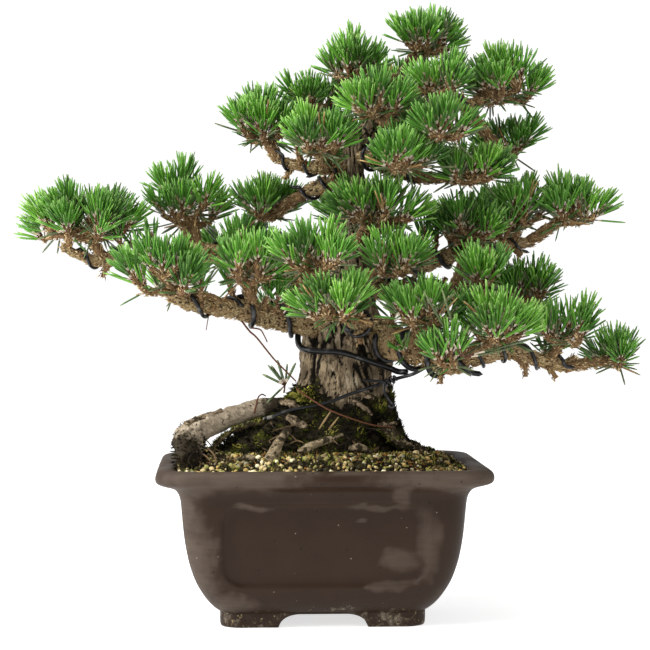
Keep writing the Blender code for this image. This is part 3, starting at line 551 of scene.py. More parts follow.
def soil_shape(around, along):
    """Rings out from the middle of the mound, then down and back in under it."""
    ring = round(along * (SOIL_RINGS + 2))
    if ring > SOIL_RINGS:
        inset = SOIL_INSET + SOIL_EDGE_TUCK if ring == SOIL_RINGS + 1 else SOIL_INSET
        point = wall_point(around, inset) * (SOIL_RINGS + 2 - ring)
        return Vector((point.x, point.y, SOIL_EDGE_HEIGHT - SOIL_DEPTH))
    point = wall_point(around, SOIL_INSET) * (ring / SOIL_RINGS)
    lump = noise.noise(Vector((*point, 5)) / SOIL_LUMP)
    return Vector((point.x, point.y, mound_height(point.x, point.y) + SOIL_LUMP_RISE * lump))


piece("soil_bed", wrapped(SOIL_AROUND, SOIL_RINGS + 2, soil_shape), (peat,), ("soil",))


def template(bm):
    """The corners, the faces and each face's finish of a small shape, which is then given up."""
    bm.verts.index_update()
    corners = np.array([vert.co for vert in bm.verts], np.float64)
    faces = [[vert.index for vert in face.verts] for face in bm.faces]
    finishes = [face.material_index for face in bm.faces]
    bm.free()
    return corners, faces, finishes


def strewn(name, shape, axes, places, kinds, finishes, bends=None, replaced=(), smooth=True):
    """One joined mesh of many copies of a small shape, each with its own axes, place, bend and finish."""
    corners, faces, own = shape
    axes, places, kinds = np.array(axes), np.array(places), np.array(kinds)
    points = np.einsum("vi,nij->nvj", corners, axes) + places[:, None, :]
    if bends is not None:
        points += corners[None, :, 2:3] ** 2 * np.array(bends)[:, None, :]
    points = points.reshape(-1, 3) * MM + np.array(TABLE_POINT)
    sizes = np.array([len(face) for face in faces])
    loops = np.concatenate(faces)
    count = len(places)
    mesh = bpy.data.meshes.new(name)
    mesh.vertices.add(len(points))
    mesh.vertices.foreach_set("co", points.astype(np.float32).ravel())
    mesh.loops.add(len(loops) * count)
    starts = np.arange(count)[:, None] * len(corners)
    mesh.loops.foreach_set("vertex_index", (loops[None, :] + starts).ravel().astype(np.int32))
    mesh.polygons.add(len(faces) * count)
    every = np.tile(sizes, count)
    mesh.polygons.foreach_set("loop_start", (np.cumsum(every) - every).astype(np.int32))
    chosen = (kinds[:, None] * (max(own) + 1) + np.array(own)[None, :]).ravel()
    mesh.polygons.foreach_set("material_index", chosen.astype(np.int32))
    mesh.update(calc_edges=True)
    mesh.validate()
    if smooth:
        mesh.shade_smooth()
    set_in(name, mesh, finishes, replaced)


def turned(rng, *sizes):
    """Random axes, each of its own length."""
    turn = rng.uniform(0, 2 * math.pi)
    axis = Vector((rng.gauss(0, 1), rng.gauss(0, 1), rng.gauss(0, 1))).normalized()
    return [[value * size for value in row] for row, size in zip(Matrix.Rotation(turn, 3, axis), sizes)]


def plain(name, colour, roughness=0.9, specular=0.12):
    """One even colour, for shapes too small to carry a pattern."""
    return Finish(name, colour, Roughness=roughness, Specular_IOR_Level=specular)


def soil_spot(rng, inset):
    """A random place on the soil, as likely in one part of its area as in another."""
    return wall_point(rng.random(), inset) * math.sqrt(rng.random())


GRAIN_FINISHES = (
    plain("grit_tan", (0.560, 0.440, 0.220)), plain("grit_ochre", (0.450, 0.315, 0.110)),
    plain("grit_brown", (0.150, 0.108, 0.048)), plain("grit_olive", (0.260, 0.240, 0.080)),
    plain("grit_dark", (0.034, 0.028, 0.014)), plain("grit_pale", (0.720, 0.640, 0.420)),
    plain("grit_grey", (0.230, 0.210, 0.140)), plain("grit_rust", (0.290, 0.130, 0.036)),
)
GRAIN_SHARES = (6, 4.5, 6, 8, 15, 2.6, 1.4, 0.6)
GRAIN_COUNT = 4200
# Half a grain's length: least, most and commonest; then its girth, and how high its middle lies, as shares
GRAIN_SIZES = (0.6, 2.5, 0.9)
GRAIN_GIRTHS = (0.6, 0.95)
GRAIN_SEATS = (-0.1, 0.6)
GRAIN_LUMPS = 0.55
LUMPS_A_GRAIN = 2.3
rng = random.Random(7)
bm = bmesh.new()
bmesh.ops.create_icosphere(bm, subdivisions=1, radius=1.0)
for vert in bm.verts:
    vert.co *= 1 + GRAIN_LUMPS * noise.noise(vert.co * LUMPS_A_GRAIN)
grain = template(bm)
axes, places, kinds = [], [], []
while len(places) < GRAIN_COUNT:
    spot = soil_spot(rng, SOIL_INSET + 1.0)
    size = rng.triangular(*GRAIN_SIZES)
    axes.append(turned(rng, size, size * rng.uniform(*GRAIN_GIRTHS), size * rng.uniform(*GRAIN_GIRTHS)))
    places.append((spot.x, spot.y, mound_height(spot.x, spot.y) + size * rng.uniform(*GRAIN_SEATS)))
    kinds.append(rng.choices(range(len(GRAIN_FINISHES)), GRAIN_SHARES)[0])
strewn("soil_grit", grain, axes, places, kinds, GRAIN_FINISHES, smooth=False)


# The trunk. Old thick bark, grey-brown and split upwards into long plates, over a flare of roots that is
# black with peat and moss at the foot. It bends left, then sharply right, up through the crown.

# Height of each section of the flare, and its left, right, front and back
TRUNK_FLARE = (
    (103.3, -62.0, 51.5, -41.0, 36.0), (111.0, -56.0, 48.0, -38.0, 33.0), (121.0, -43.0, 45.0, -34.0, 30.0),
    (131.0, -27.0, 43.0, -30.0, 28.0), (142.0, -16.5, 43.0, -27.5, 26.5), (153.0, -13.5, 44.0, -26.0, 26.0),
    (164.0, -12.5, 46.0, -25.0, 25.5), (174.0, -12.0, 43.5, -24.0, 25.0), (184.0, -10.5, 38.5, -22.0, 24.0),
)
# Centre and radius of each section above it
TRUNK_STEM = (
    (14.0, 2.0, 197.0, 21.0), (16.0, 3.0, 210.0, 17.5), (19.0, 4.0, 224.0, 14.5), (21.5, 5.0, 240.0, 12.0),
    (21.0, 4.0, 260.0, 9.8), (18.5, 2.0, 277.0, 8.2), (22.0, 0.0, 292.0, 7.0), (34.0, -2.0, 307.0, 5.8),
    (45.0, -4.0, 322.0, 4.6), (51.0, -5.0, 336.0, 3.4), (55.0, -7.0, 343.0, 2.8),
)
FLARE_LOBES = 5
FLARE_LOBE_SHARE = 0.10
FLARE_LOBE_HEIGHT = 60.0
FLARE_LOBE_TURN = 0.6
FLARE_FOOT = 103.0
TRUNK_AROUND = 200
TRUNK_LEVELS = 270
FULL_RELIEF_RADIUS = 24
# The one deep fissure: how far across it runs, its lowest and highest, width, depth, wander and its waves
FISSURE_PLACE = -6.5
FISSURE_LEVELS = (133.0, 196.0)
FISSURE_FADE = 8
FISSURE_WIDTH = 2.1
FISSURE_DEPTH = 2.6
FISSURE_WANDER = 2.2
FISSURE_WAVE = 14
# Cracks: size, upward stretch and sharpness, how far they lean at the right, and the height where they don't
TRUNK_CRACKS = (6.0, 5.0, 4.6)
CRACK_LEAN = 0.4
CRACK_LEAN_FROM = (4, 26)
CRACK_UPRIGHT_AT = 150
# The peat's edge: rise and size of its waves, its levels, how much stronger the waves are upwards, and at
# each side its extra height and the places across between which that fades
PEAT_WAVES = ((9, 8), (4, 3))
PEAT_LEVELS = (127, 135)
PEAT_WAVES_UP = 1.3
PEAT_LEFT = (11, -12, 18)
PEAT_RIGHT = (6, 14, 28)
MOUND_SIDE = -14.0
MOUND_TOP = 131.0
MOUND_FADE = 8


def outward(side, upright, turn):
    """The way out from a middle line, at a turn from its side towards its upright."""
    return side * math.cos(turn) + upright * math.sin(turn)


def trunk_sections(turn):
    """One point of every section of the trunk, at a turn round it."""
    points = []
    for height, left, right, front, back in TRUNK_FLARE:
        fade = max(0.0, 1 - (height - FLARE_FOOT) / FLARE_LOBE_HEIGHT)
        swell = 1 + FLARE_LOBE_SHARE * fade * math.cos(FLARE_LOBES * turn + FLARE_LOBE_TURN)
        middle = Vector(((left + right) / 2, (front + back) / 2, height))
        out = Vector(((right - left) / 2 * math.cos(turn), (back - front) / 2 * math.sin(turn), 0))
        points.append(middle + swell * out)
    centres = [Vector(section[:3]) for section in TRUNK_STEM]
    for i, section in enumerate(TRUNK_STEM):
        line = centres[min(i + 1, len(centres) - 1)] - centres[max(i - 1, 0)]
        across = Vector((0, 1, 0)).cross(line).normalized()
        ahead = line.cross(across).normalized()
        points.append(centres[i] + section[3] * outward(across, ahead, turn))
    return points


trunk_columns = {}


def facing(column):
    """The column on the trunk's other side."""
    return (column + TRUNK_AROUND // 2) % TRUNK_AROUND


def ramp(value, low, high):
    """0 below low, 1 above high, and a soft step from one to the other."""
    share = max(0.0, min(1.0, (value - low) / (high - low)))
    return share * share * (3 - 2 * share)


def cracked(point, grain_size, stretch, sharpness):
    """Bark's depth at a point: 0 on the plates and down to -1 in the cracks, which run upwards."""
    flow = Vector((point.x / grain_size, point.y / grain_size, point.z / (grain_size * stretch)))
    if stretch > 1:
        flow.x += CRACK_LEAN * ramp(point.x, *CRACK_LEAN_FROM) * (point.z - CRACK_UPRIGHT_AT) / grain_size
    flow += 0.35 * Vector((noise.noise(flow * 2.1), noise.noise(flow * 2.1 + Vector((7, 3, 1))), 0))
    wide = max(0.0, 1 - abs(noise.noise(flow)) * sharpness)
    narrow = max(0.0, 1 - abs(noise.noise(flow * 2.3 + Vector((11, 5, 9)))) * sharpness * 1.3)
    return -min(1.0, wide ** 1.5 + 0.55 * narrow ** 1.5)


def peaty(point):
    """1 where black peat and moss cover the flare, 0 where bark is bare."""
    ragged = sum(rise * noise.noise(point / size) for rise, size in PEAT_WAVES)
    (left, *left_reach), (right, *right_reach) = PEAT_LEFT, PEAT_RIGHT
    rise = left * (1 - ramp(point.x, *left_reach)) + right * ramp(point.x, *right_reach)
    low = 1 - ramp(point.z + ragged * PEAT_WAVES_UP - rise, *PEAT_LEVELS)
    side = 1 - ramp(point.x + ragged, MOUND_SIDE - MOUND_FADE, MOUND_SIDE + 2)
    return max(low, side * (1 - ramp(point.z, MOUND_TOP, MOUND_TOP + MOUND_FADE)))


def trunk_shape(around, along):
    """A point of the bark and its depth: 0 on a plate, -1 in a crack and -2 under peat."""
    column = round(around * TRUNK_AROUND) % TRUNK_AROUND
    for each in (column, facing(column)):
        if each not in trunk_columns:
            trunk_columns[each] = trunk_sections(2 * math.pi * each / TRUNK_AROUND)
    points = trunk_columns[column]
    place = along * (len(points) - 1)
    point = curve_point(points, place)
    middle = (point + curve_point(trunk_columns[facing(column)], place)) / 2
    if along in (0.0, 1.0):
        return middle, 0.0
    out = point - middle
    strength = min(1.0, out.length / FULL_RELIEF_RADIUS)
    deep = cracked(point, *TRUNK_CRACKS)
    low, high = FISSURE_LEVELS
    split = 0.0
    if point.y < middle.y and low < point.z < high:
        wander = FISSURE_PLACE + FISSURE_WANDER * noise.noise(Vector((0, 0, point.z / FISSURE_WAVE)))
        split = math.exp(-((point.x - wander) / FISSURE_WIDTH) ** 2) * ramp(point.z, low, low + FISSURE_FADE)
        deep = min(deep, -split)
    mound = peaty(point)
    lumps = noise.noise(point / 13) + 0.5 * noise.noise(point / 5)
    relief = strength * (1.7 * deep + 1.6 * lumps) * (1 - 0.6 * mound) + 0.35 * noise.noise(point / 1.7)
    relief -= FISSURE_DEPTH * split
    relief += mound * (2.0 * noise.noise(point / 7 + Vector((3, 3, 3))) + 1.3 * noise.noise(point / 2.4))
    return point + out.normalized() * relief, max(deep, -1.0) if mound < 0.5 else -2.0


bark = Finish("old_bark", Specular_IOR_Level=0.12, Roughness=0.92)
depth = bark.attribute("depth")
fibres = bark.noise(2.0, 5.0, (1.0, 1.0, 0.16), 0.7)
threads = bark.noise(0.8, 4.0, (1.0, 1.0, 0.12), 0.6)
split_fibres = (fibres * 0.6 + threads * 0.4).between(0.41, 0.59)
plates = bark.mix(split_fibres, (0.040, 0.027, 0.015), (0.340, 0.260, 0.162))
plates = bark.mix(bark.noise(13, 4.0).between(0.44, 0.60) * 0.75, plates, (0.112, 0.083, 0.050))
worn = bark.noise(6, 4.0, (1.0, 1.0, 0.4)).between(0.56, 0.66)
plates = bark.mix(worn * 0.6, plates, (0.42, 0.345, 0.240))
# Cracks are painted near black: painted shade in the cracks
shown = bark.mix((depth + fibres * 0.7).between(-0.40, 0.10), (0.007, 0.005, 0.003), plates)
black = bark.mix(bark.noise(2.2, 5.0), (0.004, 0.0035, 0.002), (0.040, 0.031, 0.016))
green = bark.mix(bark.noise(1.3, 3.0), (0.020, 0.028, 0.003), (0.120, 0.125, 0.014))
mossy = bark.mix(bark.noise(6, 5.0).between(0.54, 0.64) * 0.7, black, green)
bark.colour(bark.mix((depth + fibres * 0.3).between(-1.35, -1.0), mossy, shown))
bark.bump(fibres + threads * 0.8, 1.3)
trunk = wrapped(TRUNK_AROUND, TRUNK_LEVELS, trunk_shape, "depth")
piece("trunk_bark", trunk, (bark,), ("trunk",))


# The surface roots. They leave the flare, dip into the soil and are bare and tan on top. The thickest
# arches out to the left over a gap and stands on its own dark end by the pot's rim.

# Path and radii of each root, its stubs and the mossy strand under the arch
FLARE_ROOTS = (
    (((-20, -36, 120), (-25, -42, 114), (-29, -48, 108), (-33, -53, 99)), (2.0, 2.4, 3.4, 4.0)),
    (((12, -38.5, 115.5), (4, -42, 113), (-6, -45.5, 110.3), (-16, -49, 106)), (1.0, 2.0, 2.4, 2.0)),
    (((34, 0, 115), (48, 1, 105), (58, 3, 102.5), (64, 6, 96)), (6.0, 5.4, 4.0, 3.0)),
    (((4, 18, 122), (-6, 38, 108), (-14, 56, 92)), (7.0, 6.0, 4.5)),
    (((30, 18, 120), (40, 36, 107), (47, 52, 92)), (6.5, 6.0, 4.5)),
    (((15, -39, 106), (20, -41.5, 108.5), (28, -40, 105)), (1.8, 2.6, 1.4)),
    (
        ((35, -20, 122), (41, -23, 116), (48, -24, 109), (56, -22, 106.5), (66, -20, 100)),
        (4.4, 4.6, 3.7, 3.6, 2.2),
    ),
    (((-55, -42, 100), (-46, -46, 102.6), (-37, -49, 101.6)), (1.2, 2.0, 1.6)),
)
# The one at the right of the flare, which moss covers
RIGHT_ROOT = 6
ROOT_STUBS = (
    (((15, -27, 137), (22, -30, 133), (30, -29.5, 126.5)), (1.2, 1.7, 0.9)),
    (((20, -28, 140), (25, -29.5, 138.5), (31, -28.5, 136)), (0.9, 1.5, 0.9)),
    (((-22, -31, 126), (-17, -34.5, 123.5), (-9, -36, 120)), (1.8, 2.7, 1.4)),
    (((-26, -19, 134), (-20, -25, 133.5), (-13, -28, 130)), (1.6, 2.4, 1.4)),
    (((33, -27, 120.5), (39, -26, 120.8), (45, -20, 121)), (0.8, 1.2, 0.8)),
    (((-60, -20, 129), (-71, -25, 125), (-83.5, -31, 121)), (1.4, 2.4, 2.6)),
)
MOSSY_ROOT = (
    (-67, -26, 103), (-64, -25, 109.5), (-58, -24, 114.5),
    (-51, -23, 118), (-43, -22, 120.5), (-34, -21, 122),
)
MOSSY_ROOT_RADII = (1.3, 1.7, 1.6, 1.5, 1.7, 2.2)
ARCHING_ROOT = (
    (-20, -6, 130.5), (-34, -9, 129.8), (-47, -13, 127.4), (-60, -18, 123.2),
    (-72, -24, 118.6), (-80.5, -29, 112), (-80, -31, 94),
)
ARCHING_ROOT_RADII = (6.3, 6.0, 5.9, 6.3, 7.4, 9.0, 9.2)


def radius_at(radii, share):
    """The radius at a share of the way along a limb."""
    at = share * (len(radii) - 1)
    low = min(int(at), len(radii) - 2)
    return radii[low] + (radii[low + 1] - radii[low]) * (at - low)


def frames_along(points, levels):
    """Centre, side, upright and line of a limb at each level, turned no more than its path turns."""
    points = [Vector(point) for point in points]
    centres = [curve_point(points, (len(points) - 1) * k / levels) for k in range(levels + 1)]
    found = []
    side = None
    for k, centre in enumerate(centres):
        line = (centres[min(k + 1, levels)] - centres[max(k - 1, 0)]).normalized()
        side = line.orthogonal() if side is None else side - line * side.dot(line)
        side.normalize()
        found.append((centre, side, line.cross(side), line))
    return found


def limb(points, radii, around, levels, relief=None, layer=None):
    """A limb rolled round a smooth path, with round closed ends and its bark's relief."""
    found = frames_along(points, levels)
    length = sum((b[0] - a[0]).length for a, b in zip(found, found[1:]))

    def shape(turn_share, share):
        k = round(share * levels)
        share = k / levels
        centre, side, upright, _ = found[k]
        out = outward(side, upright, 2 * math.pi * turn_share)
        radius = radius_at(radii, share)
        short = max(0.0, 1 - min(share, 1 - share) * length / radius)
        rounding = math.sqrt(max(0.0, 1 - short * short))
        point = centre + out * radius * rounding
        push, depth = relief(point, radius) if relief else (0.0, 0.0)
        point = point + out * push * rounding
        return (point, depth) if layer else point

    return wrapped(around, levels, shape, layer)


def joined(shapes):
    """Several bmeshes as one."""
    whole = bmesh.new()
    whole.verts.layers.float.new("depth")
    for shape in shapes:
        mesh = bpy.data.meshes.new("part")
        shape.to_mesh(mesh)
        shape.free()
        whole.from_mesh(mesh)
        bpy.data.meshes.remove(mesh)
    return whole


def root_relief(point, radius):
    """Lumps, strongest on the arching root's leg, and fine cracks."""
    deep = cracked(point, 3.4, 1.0, 9.0)
    leg = 1 - ramp(point.x, -72, -64)
    lumps = (0.8 + 1.7 * leg) * noise.noise(point / 6) + (0.4 + 1.0 * leg) * noise.noise(point / 2.2)
    return lumps + 0.35 * deep, deep


def stub_relief(point, radius):
    """The close lumps of a thin broken root."""
    deep = cracked(point, 2.2, 1.0, 7.0)
    return 0.9 * noise.noise(point / 2.8) + 0.5 * noise.noise(point / 1.2) + 0.3 * deep, deep


class RootBark(Finish):
    """Bare root skin, tan to grey, with black peat where a mask says so."""

    def __init__(self, name, pale, dark):
        super().__init__(name, Specular_IOR_Level=0.10, Roughness=0.88)
        depth = self.attribute("depth")
        grain_lines = self.noise(1.6, 5.0, (0.5, 1.0, 1.0), 0.7)
        skin = self.mix(grain_lines.between(0.32, 0.66), dark, pale)
        middling = tuple((a + b) / 2 for a, b in zip(pale, dark))
        skin = self.mix(self.noise(8, 4.0).between(0.42, 0.58) * 0.8, skin, middling)
        crackle = self.cells(4.5, (0.8, 1.0, 1.0), "DISTANCE_TO_EDGE").between(0.015, 0.075)
        skin = self.mix((1.0 - crackle) * grain_lines.between(0.35, 0.60) * 0.8, skin, dark)
        # Cracks are painted dark brown: painted shade in the cracks
        self.skin = self.mix((depth + grain_lines * 0.5).between(-0.70, -0.25), (0.050, 0.037, 0.025), skin)
        self.bump(grain_lines + self.noise(0.8, 3.0) * 0.4, 0.7)

    def soil_with(self, mask):
        """Lays peat over the skin where the mask is 1."""
        dirt = self.mix(self.noise(2.0, 4.0), (0.004, 0.003, 0.002), (0.042, 0.031, 0.017))
        self.colour(self.mix(mask, self.skin, dirt))


arch_bark = RootBark("bare_root", (0.490, 0.415, 0.310), (0.175, 0.130, 0.085))
leg = 1.0 - (arch_bark.across() + arch_bark.noise(5, 4.0) * 12.0).between(-71, -66)
low = 1.0 - (arch_bark.height() + arch_bark.noise(4, 4.0) * 16.0).between(121, 127)
by_trunk = (arch_bark.across() + arch_bark.noise(4, 4.0) * 14.0).between(-32, -24)
arch_bark.soil_with((leg * low).most(by_trunk) * 0.96)
front_bark = RootBark("soiled_root", (0.370, 0.290, 0.180), (0.095, 0.070, 0.038))
above = (front_bark.height() + front_bark.noise(5, 4.0) * 14.0).between(122, 127)
below = 1.0 - (front_bark.height() + front_bark.noise(3, 4.0) * 10.0).between(105, 108)
patches = (front_bark.noise(4, 5.0) + front_bark.across().between(26, 34) * 0.08).between(0.48, 0.57)
front_bark.soil_with(above.most(below).most(patches) * 0.96)
arch = limb(ARCHING_ROOT, ARCHING_ROOT_RADII, 64, 120, root_relief, "depth")
piece("root_arching_bark", arch, (arch_bark,), ("root_arching",))
roots = joined(limb(points, radii, 40, 60, root_relief, "depth") for points, radii in FLARE_ROOTS)
piece("roots_on_soil", roots, (front_bark,))
stub_bark = RootBark("root_wood", (0.380, 0.290, 0.190), (0.085, 0.058, 0.034))
stub_bark.soil_with(stub_bark.noise(3.5, 4.0).between(0.50, 0.60) * 0.9)
stubs = joined(limb(points, radii, 24, 40, stub_relief, "depth") for points, radii in ROOT_STUBS)
piece("root_stubs", stubs, (stub_bark,))
mossy_bark = RootBark("mossy_root", (0.200, 0.160, 0.070), (0.045, 0.032, 0.016))
mossy_bark.soil_with(mossy_bark.noise(5, 4.0).between(0.44, 0.56) * 0.96)
strand = limb(MOSSY_ROOT, MOSSY_ROOT_RADII, 20, 70, stub_relief, "depth")
piece("root_mossy_strand", strand, (mossy_bark,))


# The moss and rootlets. Black fibrous peat stands on the flare and round the arching root's leg, with
# hair roots in it, and yellow-green moss grows in cushions on the peat and between the grains.
UP = Vector((0, 0, 1))
MOSS_FINISHES = (
    plain("fibre_black", (0.006, 0.005, 0.003)), plain("moss_dark", (0.018, 0.020, 0.005)),
    plain("moss_olive", (0.070, 0.068, 0.014)), plain("moss_green", (0.105, 0.130, 0.012)),
    plain("moss_yellow", (0.330, 0.300, 0.060)), plain("moss_rust", (0.260, 0.120, 0.030)),
    plain("straw", (0.420, 0.330, 0.170)),
)
FLARE_TUFTS = 5600
SOIL_TUFTS = 5600
LEG_TUFTS = 700
LICHEN_TUFTS = 90
STRAND_TUFTS = 760
STRAWS = 420
RIGHT_ROOT_TUFTS = 900
# Mean and spread of a blade's lean from its line, its thickness and its length
TUFT_LEANS = ((0, 0.45), (0, 0.45), (0.1, 0.35))
TUFT_GIRTHS = (0.28, 0.6)
TUFT_LENGTHS = (1.6, 3.8)
BLADE_TIP = 0.12
BLADE_SUNK = 0.1
# Sizes of the cushions and of their ragged edges, and the level from which each kind grows
CUSHION_SIZE = 9
CUSHION_EDGE = 3
MOSS_LEVELS = (-0.02, 0.20, 0.32, 0.44)
# Moss covers the lowest sections of the flare, and stands more upright at its right
MOSSY_SECTIONS = 4.2
UPRIGHT_SHARE = 0.8
UPRIGHT_FROM = (8, 26)
# Steps along a root, and the first of them on the arching root's leg, which is black up to a height
ROOT_STEPS = 60
LEG_FROM = 44
LEG_BLACK_TO = 119
# How far the fibres under the mossy strand hang
FRINGE_DROP = 5.5
SOIL_BLACK_SHARE = 0.25
rng = random.Random(21)
bm = bmesh.new()
bmesh.ops.create_cone(bm, cap_ends=True, segments=3, radius1=1.0, radius2=BLADE_TIP, depth=1.0)
bmesh.ops.translate(bm, verts=bm.verts, vec=(0, 0, 0.5 - BLADE_SUNK))
blade = template(bm)


def around_line(line, turn):
    """A direction square to a line, at a turn round it."""
    side = line.orthogonal().normalized()
    return outward(side, line.cross(side), turn)


def axes_along(line, width, length, spin):
    """Axes of a slim shape that stands along a line."""
    line = line.normalized()
    across = around_line(line, spin)
    return [list(across * width), list(line.cross(across) * width), list(line * length)]


def moss_kind(point, shift):
    """Which growth stands at a point: cushions of one kind, with black between them."""
    field = noise.noise(point / CUSHION_SIZE + Vector((shift, 0, 0)))
    field += 0.4 * noise.noise(point / CUSHION_EDGE)
    field += rng.gauss(0, 0.10)
    return sum(field > level for level in MOSS_LEVELS)


axes, places, kinds = [], [], []


def add_tuft(point, out, kind, size):
    """A blade of moss or fibre that stands roughly along a line."""
    line = out + Vector([rng.gauss(*lean) for lean in TUFT_LEANS])
    girth, length = rng.uniform(*TUFT_GIRTHS) * size, rng.uniform(*TUFT_LENGTHS) * size
    axes.append(axes_along(line, girth, length, rng.uniform(0, 6)))
    places.append(list(point))
    kinds.append(kind)


def on_root(found, first=0):
    """A random place on a root: its share of the way, its centre, the way out and the root's line."""
    step = rng.randint(first, ROOT_STEPS)
    centre, side, upright, line = found[step]
    return step / ROOT_STEPS, centre, outward(side, upright, rng.uniform(0, 2 * math.pi)), line


while len(places) < FLARE_TUFTS:
    column = rng.randrange(TRUNK_AROUND)
    place = rng.uniform(0, MOSSY_SECTIONS)
    point = curve_point(trunk_columns[column], place)
    out = (point - curve_point(trunk_columns[facing(column)], place)).normalized()
    if rng.random() < peaty(point):
        line = out.lerp(UP, UPRIGHT_SHARE * ramp(point.x, *UPRIGHT_FROM))
        add_tuft(point + out * rng.uniform(-0.6, 1.2), line, moss_kind(point, 0), 1.0)
found = frames_along(ARCHING_ROOT, ROOT_STEPS)
for _ in range(LEG_TUFTS):
    share, centre, out, _ = on_root(found, LEG_FROM)
    point = centre + out * radius_at(ARCHING_ROOT_RADII, share)
    if point.z < LEG_BLACK_TO + rng.gauss(0, 4):
        add_tuft(point, out, rng.choice((0, 0, 0, 1, 2)), 0.9)
found = frames_along(MOSSY_ROOT, ROOT_STEPS)
for _ in range(STRAND_TUFTS):
    _, centre, out, _ = on_root(found)
    if out.z > 0.2:
        add_tuft(centre + out * 1.2, out, rng.choice((0, 1, 2, 3, 4)), 0.8)
    else:
        add_tuft(centre - UP * rng.uniform(0, FRINGE_DROP), out, rng.choice((0, 0, 0, 1)), 1.1)
for _ in range(SOIL_TUFTS):
    spot = soil_spot(rng, SOIL_INSET + 2.0)
    point = Vector((spot.x, spot.y, mound_height(spot.x, spot.y) + 0.4))
    kind = moss_kind(point, 40)
    if kind or rng.random() < SOIL_BLACK_SHARE:
        add_tuft(point, UP, kind, 0.95)
path, radii = FLARE_ROOTS[RIGHT_ROOT]
found = frames_along(path, ROOT_STEPS)
for _ in range(RIGHT_ROOT_TUFTS):
    share, centre, out, line = on_root(found)
    point = centre + out * radius_at(radii, share)
    if noise.noise(point / 5) > -0.12:
        add_tuft(point, out * 0.5 - line * 0.8, moss_kind(point, 12), 0.9)
# Dry straws lie loose on the front of the soil, and pale lichen grows in a patch at the trunk's left
for _ in range(STRAWS):
    spot = Vector((rng.gauss(8, 38), rng.gauss(-42, 10), 0))
    if abs(spot.x) < 80 and abs(spot.y) < 56:
        spot.z = mound_height(spot.x, spot.y) + rng.uniform(0.6, 1.6)
        add_tuft(spot, Vector((rng.gauss(0, 1.4), rng.gauss(0, 1.4), 0.1)), rng.choice((4, 5, 5, 6)), 1.25)
for _ in range(LICHEN_TUFTS):
    spot = Vector((rng.gauss(-14, 4), rng.gauss(-24, 2.5), rng.gauss(136.5, 2.5)))
    add_tuft(spot, Vector((-0.2, -0.8, 0.4)), rng.choice((3, 4, 4)), 1.3)
strewn("moss_and_fibres", blade, axes, places, kinds, MOSS_FINISHES, smooth=False)

# Hair roots hang from the leg and from the flare: their points after the first, the steps between them,
# how far right they may reach, how high they lie over the soil, and their radii at the foot and the tip
HAIR_ROOTS = 34
HAIR_ROOT_POINTS = 4
HAIR_ROOT_STEPS = (3, 6)
HAIR_ROOT_RIGHT = 42
HAIR_ROOT_LIFT = 0.6
HAIR_ROOT_GIRTHS = (0.4, 0.9)
HAIR_ROOT_TIP = 0.3
rootlets = []
for number in range(HAIR_ROOTS):
    if number % 2:
        start = Vector((-75 + rng.gauss(0, 4), -30 + rng.gauss(0, 5), rng.uniform(103, 114)))
        way = Vector((rng.uniform(-0.1, 0.7), rng.gauss(-0.3, 0.5), -1))
    else:
        start = Vector((rng.uniform(-52, 36), -26 + rng.gauss(0, 3), rng.uniform(106, 124)))
        way = Vector((rng.gauss(-0.2, 0.9), -1, -0.5))
    points = [start]
    for _ in range(HAIR_ROOT_POINTS):
        wander = Vector((rng.gauss(0, 0.5), rng.gauss(0, 0.4), rng.gauss(0, 0.3)))
        nearer = points[-1] + (way + wander) * rng.uniform(*HAIR_ROOT_STEPS)
        nearer.x = min(nearer.x, HAIR_ROOT_RIGHT)
        nearer.z = max(nearer.z, mound_height(nearer.x, nearer.y) + HAIR_ROOT_LIFT)
        points.append(nearer)
    rootlets.append(limb(points, (rng.uniform(*HAIR_ROOT_GIRTHS), HAIR_ROOT_TIP), 6, 14))
hair_root = Finish("hair_root", Specular_IOR_Level=0.2, Roughness=0.9)
browner = hair_root.noise(12, 3.0).between(0.45, 0.6)
hair_root.colour(hair_root.mix(browner, (0.012, 0.008, 0.005), (0.125, 0.080, 0.042)))
piece("hair_roots", joined(rootlets), (hair_root,))


# The boughs. Each is one limb that grows out of the trunk and is bent down by wire, with rough tan bark
# that flakes in small scales, and knots where old twigs were cut.

